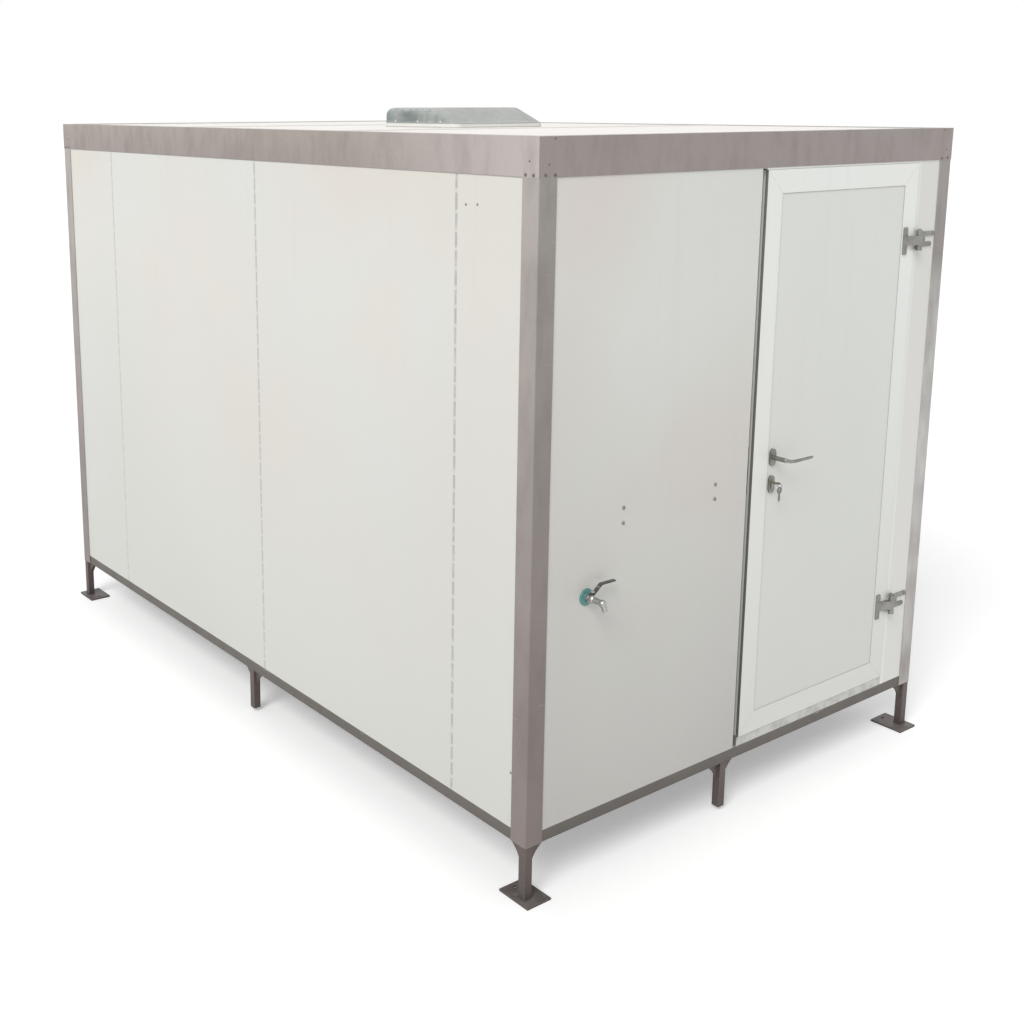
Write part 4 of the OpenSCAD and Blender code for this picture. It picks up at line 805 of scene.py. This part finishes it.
# Heights of the hinges.
HINGES = (1795.0, 378.0)
s = Shape()
for hz in HINGES:
    for dz in (-40, -26, 26, 40):
        countersunk(s, at(1815.0, -4.0, hz + dz), (0, -1, 0), 0.0038)
s.make("hinge_strap_screws", zinc, "door", slot="hinge_steel")
s = Shape()
for hz in HINGES:
    for x, dz in ((1997.0, 19.0), (1981.0, -19.0), (1913.0, 19.0), (1913.0, -19.0)):
        screw(s, at(x, -1.0, hz + dz), (0, -1, 0), 0.0048, 0.0036)
s.make("hinge_bracket_screws", zinc, slot="hinge_steel")
# Domed caps on the hinge pins.
s = Shape()
for hz in HINGES:
    s.turn(at(1885.0, -16.0, hz + 40.2), (0, 0, 1),
           [(0.0046, 0.0), (0.0046, 0.0016), (0.0036, 0.0026), (0.001, 0.003)], 20)
s.make("hinge_pin_caps", zinc, slot="hinge_steel")

# toilet and washbasin
# The bowl narrows from an oval at the rim, which two circles span, to a circle at its bottom. The water
# fills it to the height WATER_Z. Circles are (radius, distance in front of the pan's back), in metres.
wc = at(560, 3307, 80)
RIM, BOTTOM = ((0.130, 0.480), (0.100, 0.350)), (0.045, 0.390)
RIM_Z, WATER_Z, DEPTH = 0.400, 0.245, 0.230
share = (RIM_Z - WATER_Z) / DEPTH
surface = []
for c, q in circle(64):
    r, y = max(RIM, key=lambda o: o[0] + q * o[1])
    top = Vector((c * r, -y - q * r, WATER_Z))
    low = Vector((c * BOTTOM[0], -BOTTOM[1] - q * BOTTOM[0], WATER_Z))
    surface.append(wc + top.lerp(low, share))
s = Shape()
s.loft([[p - Vector((0, 0, 0.003)) for p in surface], surface])
s.make("toilet_water", water("still_water"), slot="ceramic")

# Cover caps over the floor screws.
s = Shape()
for side in (-1, 1):
    s.turn(wc + Vector((side * 0.118, -0.20, 0.030)), (side, 0, 0.25),
           [(0.0085, -0.008), (0.0085, 0.001), (0.007, 0.003), (0.002, 0.004)], 20)
s.make("toilet_caps", white_cap, slot="ceramic")
# Ring round the flush button.
s = Shape()
s.turn(wc + Vector((0, -0.0875, 0.760)), (0, 0, 1),
       [(0.0196, -0.0004), (0.0196, 0.0012), (0.0206, 0.0018), (0.0232, 0.0018), (0.0245, 0.0009),
        (0.0245, -0.0004)], 40, closed=True)
s.make("button_ring", MATS["button"], slot="button")

# Strainer of the washbasin: a ring of round wire with two crossed bars.
drain = at(610, 284, 893.6)
STRAINER_R = 0.0135
s = Shape()
s.tube([drain + Vector((c, q, 0)) * STRAINER_R for c, q in circle(32, closed=True)], 0.0016, 8)
for bar in ((STRAINER_R, 0, 0), (0, STRAINER_R, 0)):
    s.tube([drain - Vector(bar), drain, drain + Vector(bar)], 0.0014, 8)
s.make("basin_strainer", MATS["tap_metal"], slot="tap_metal")


def clip(shape, p, axis, out, r, reach, half=0.006):
    """Ring round a pipe, with a stem and a small plate to the wall, at the distance reach from its middle."""
    axis, out = Vector(axis), Vector(out)
    other = axis.cross(out)
    strip = ((r, -half), (r + 0.002, -half), (r + 0.002, half), (r, half))
    shape.loft([[p + (out * c + other * q) * far + axis * h for far, h in strip] for c, q in circle(28)],
               closed=True)
    stem = reach - r
    shape.turn(p + out * (r + 0.001), out,
               [(0.004, 0.0), (0.004, stem - 0.003), (0.010, stem - 0.003), (0.010, stem - 0.001)], 16)


# Clips that hold the pipes off the walls.
s = Shape()
for y in (500, 1100, 1800, 2500, 3100):
    clip(s, at(93, y, 140), (0, 1, 0), (-1, 0, 0), 0.0102, 0.040)
for z in (330, 600):
    clip(s, at(237, 103, z), (0, 0, 1), (0, -1, 0), 0.0102, 0.050)
clip(s, at(420, 103, 840), (1, 0, 0), (0, -1, 0), 0.0102, 0.050)
clip(s, at(610, 113, 320), (0, 0, 1), (0, -1, 0), 0.0162, 0.060)
s.make("pipe_clips", MATS["galvanised"], slot="galvanised")

# Ribs round the spout of the outside tap, which leans out by 30 degrees.
s = Shape()
lean = Vector((0, -0.5, -math.cos(math.radians(30))))
across = Vector((1, 0, 0))
other = lean.cross(across)
for along in (0.0078, 0.0092):
    centre = at(237, -69, 781) + lean * along
    s.tube([centre + (across * c + other * q) * 0.0098 for c, q in circle(28, closed=True)], 0.0005, 6)
s.make("spout_ribs", MATS["tap_metal"], slot="tap_metal")

# Cove along the foot of the walls inside, whose faces lie INNER behind the posts' faces.
INNER, COVE_Z = 54.0, 81.5
x1, y1 = WIDTH - INNER, LENGTH - INNER
s = Shape()
for a, b in (((INNER, POST), (INNER, y1)), ((x1, POST), (x1, y1)), ((INNER, y1), (x1, y1)),
             ((INNER, 66.0), (985.0, 66.0))):
    run(s, (*a, COVE_Z), (*b, COVE_Z), 3.5, 10)
s.make("floor_cove", sealant, slot="panel_white")

# floor, light and camera
ground = Tree("studio_ground")
cloud = ground.ramp(ground.noise(0.6, 2.0, 0.5), 0.3, 0.7)
shade = ground.mix(cloud, lin((236, 236, 236)), lin((238, 238, 238)))
ground.bump([(ground.noise(180.0, 2.0, 0.5), 0.05, 0.0005)])
ground.done(shade, 0.75)
# The floor shows near white to the camera and in reflections, and still takes the shadow.
lift = ground.add("ShaderNodeEmission")
ground.link(ground.times(ground.seen_directly(), 0.30), lift.inputs["Strength"])
both = ground.add("ShaderNodeAddShader")
ground.link(ground.bsdf.outputs[0], both.inputs[0])
ground.link(lift.outputs[0], both.inputs[1])
ground.link(both.outputs[0], ground.out.inputs["Surface"])
mesh = bpy.data.meshes.new("ground")
h = 90.0
mesh.from_pydata([(-h, -h, 0), (h, -h, 0), (h, h, 0), (-h, h, 0)], [], [(0, 1, 2, 3)])
floor = bpy.data.objects.new("ground", mesh)
bpy.context.scene.collection.objects.link(floor)
mesh.materials.append(ground.mat)

world = bpy.data.worlds.new("studio")
bpy.context.scene.world = world
sky = Nodes(world)
light = sky.add("ShaderNodeBackground")
light.inputs["Color"].default_value = (0.985, 0.992, 1.0, 1.0)
light.inputs["Strength"].default_value = 0.50
white = sky.add("ShaderNodeBackground")
white.inputs["Color"].default_value = lin((255, 255, 255))
white.inputs["Strength"].default_value = 1.0
blend = sky.add("ShaderNodeMixShader")
sky.link(sky.seen_directly(), blend.inputs[0])
sky.link(light.outputs[0], blend.inputs[1])
sky.link(white.outputs[0], blend.inputs[2])
sky.link(blend.outputs[0], sky.add("ShaderNodeOutputWorld").inputs["Surface"])

key = bpy.data.lights.new("key", "SUN")
key.energy = 1.85
key.angle = math.radians(28)
key.color = (1.0, 0.995, 0.985)
lamp = bpy.data.objects.new("key", key)
lamp.rotation_euler = Vector((-1.25, -0.62, 1.35)).to_track_quat("Z", "Y").to_euler()
bpy.context.scene.collection.objects.link(lamp)

cam_data = bpy.data.cameras.new("view")
cam_data.sensor_width = 36.0
cam_data.lens = 46.5
cam_data.shift_x = 0.122
cam_data.shift_y = -0.138
cam_data.clip_end = 500.0
cam = bpy.data.objects.new("view", cam_data)
# Place, heading, tilt and roll, solved from the photograph's straight edges.
cam.matrix_world = (Matrix.Translation((-3.613, -4.461, 2.477))
                    @ Matrix.Rotation(math.radians(-36.26), 4, "Z")
                    @ Matrix.Rotation(math.radians(90 - 11.36), 4, "X")
                    @ Matrix.Rotation(math.radians(-0.11), 4, "Z"))
bpy.context.scene.collection.objects.link(cam)
bpy.context.scene.camera = cam
bpy.context.scene.view_settings.view_transform = "Standard"
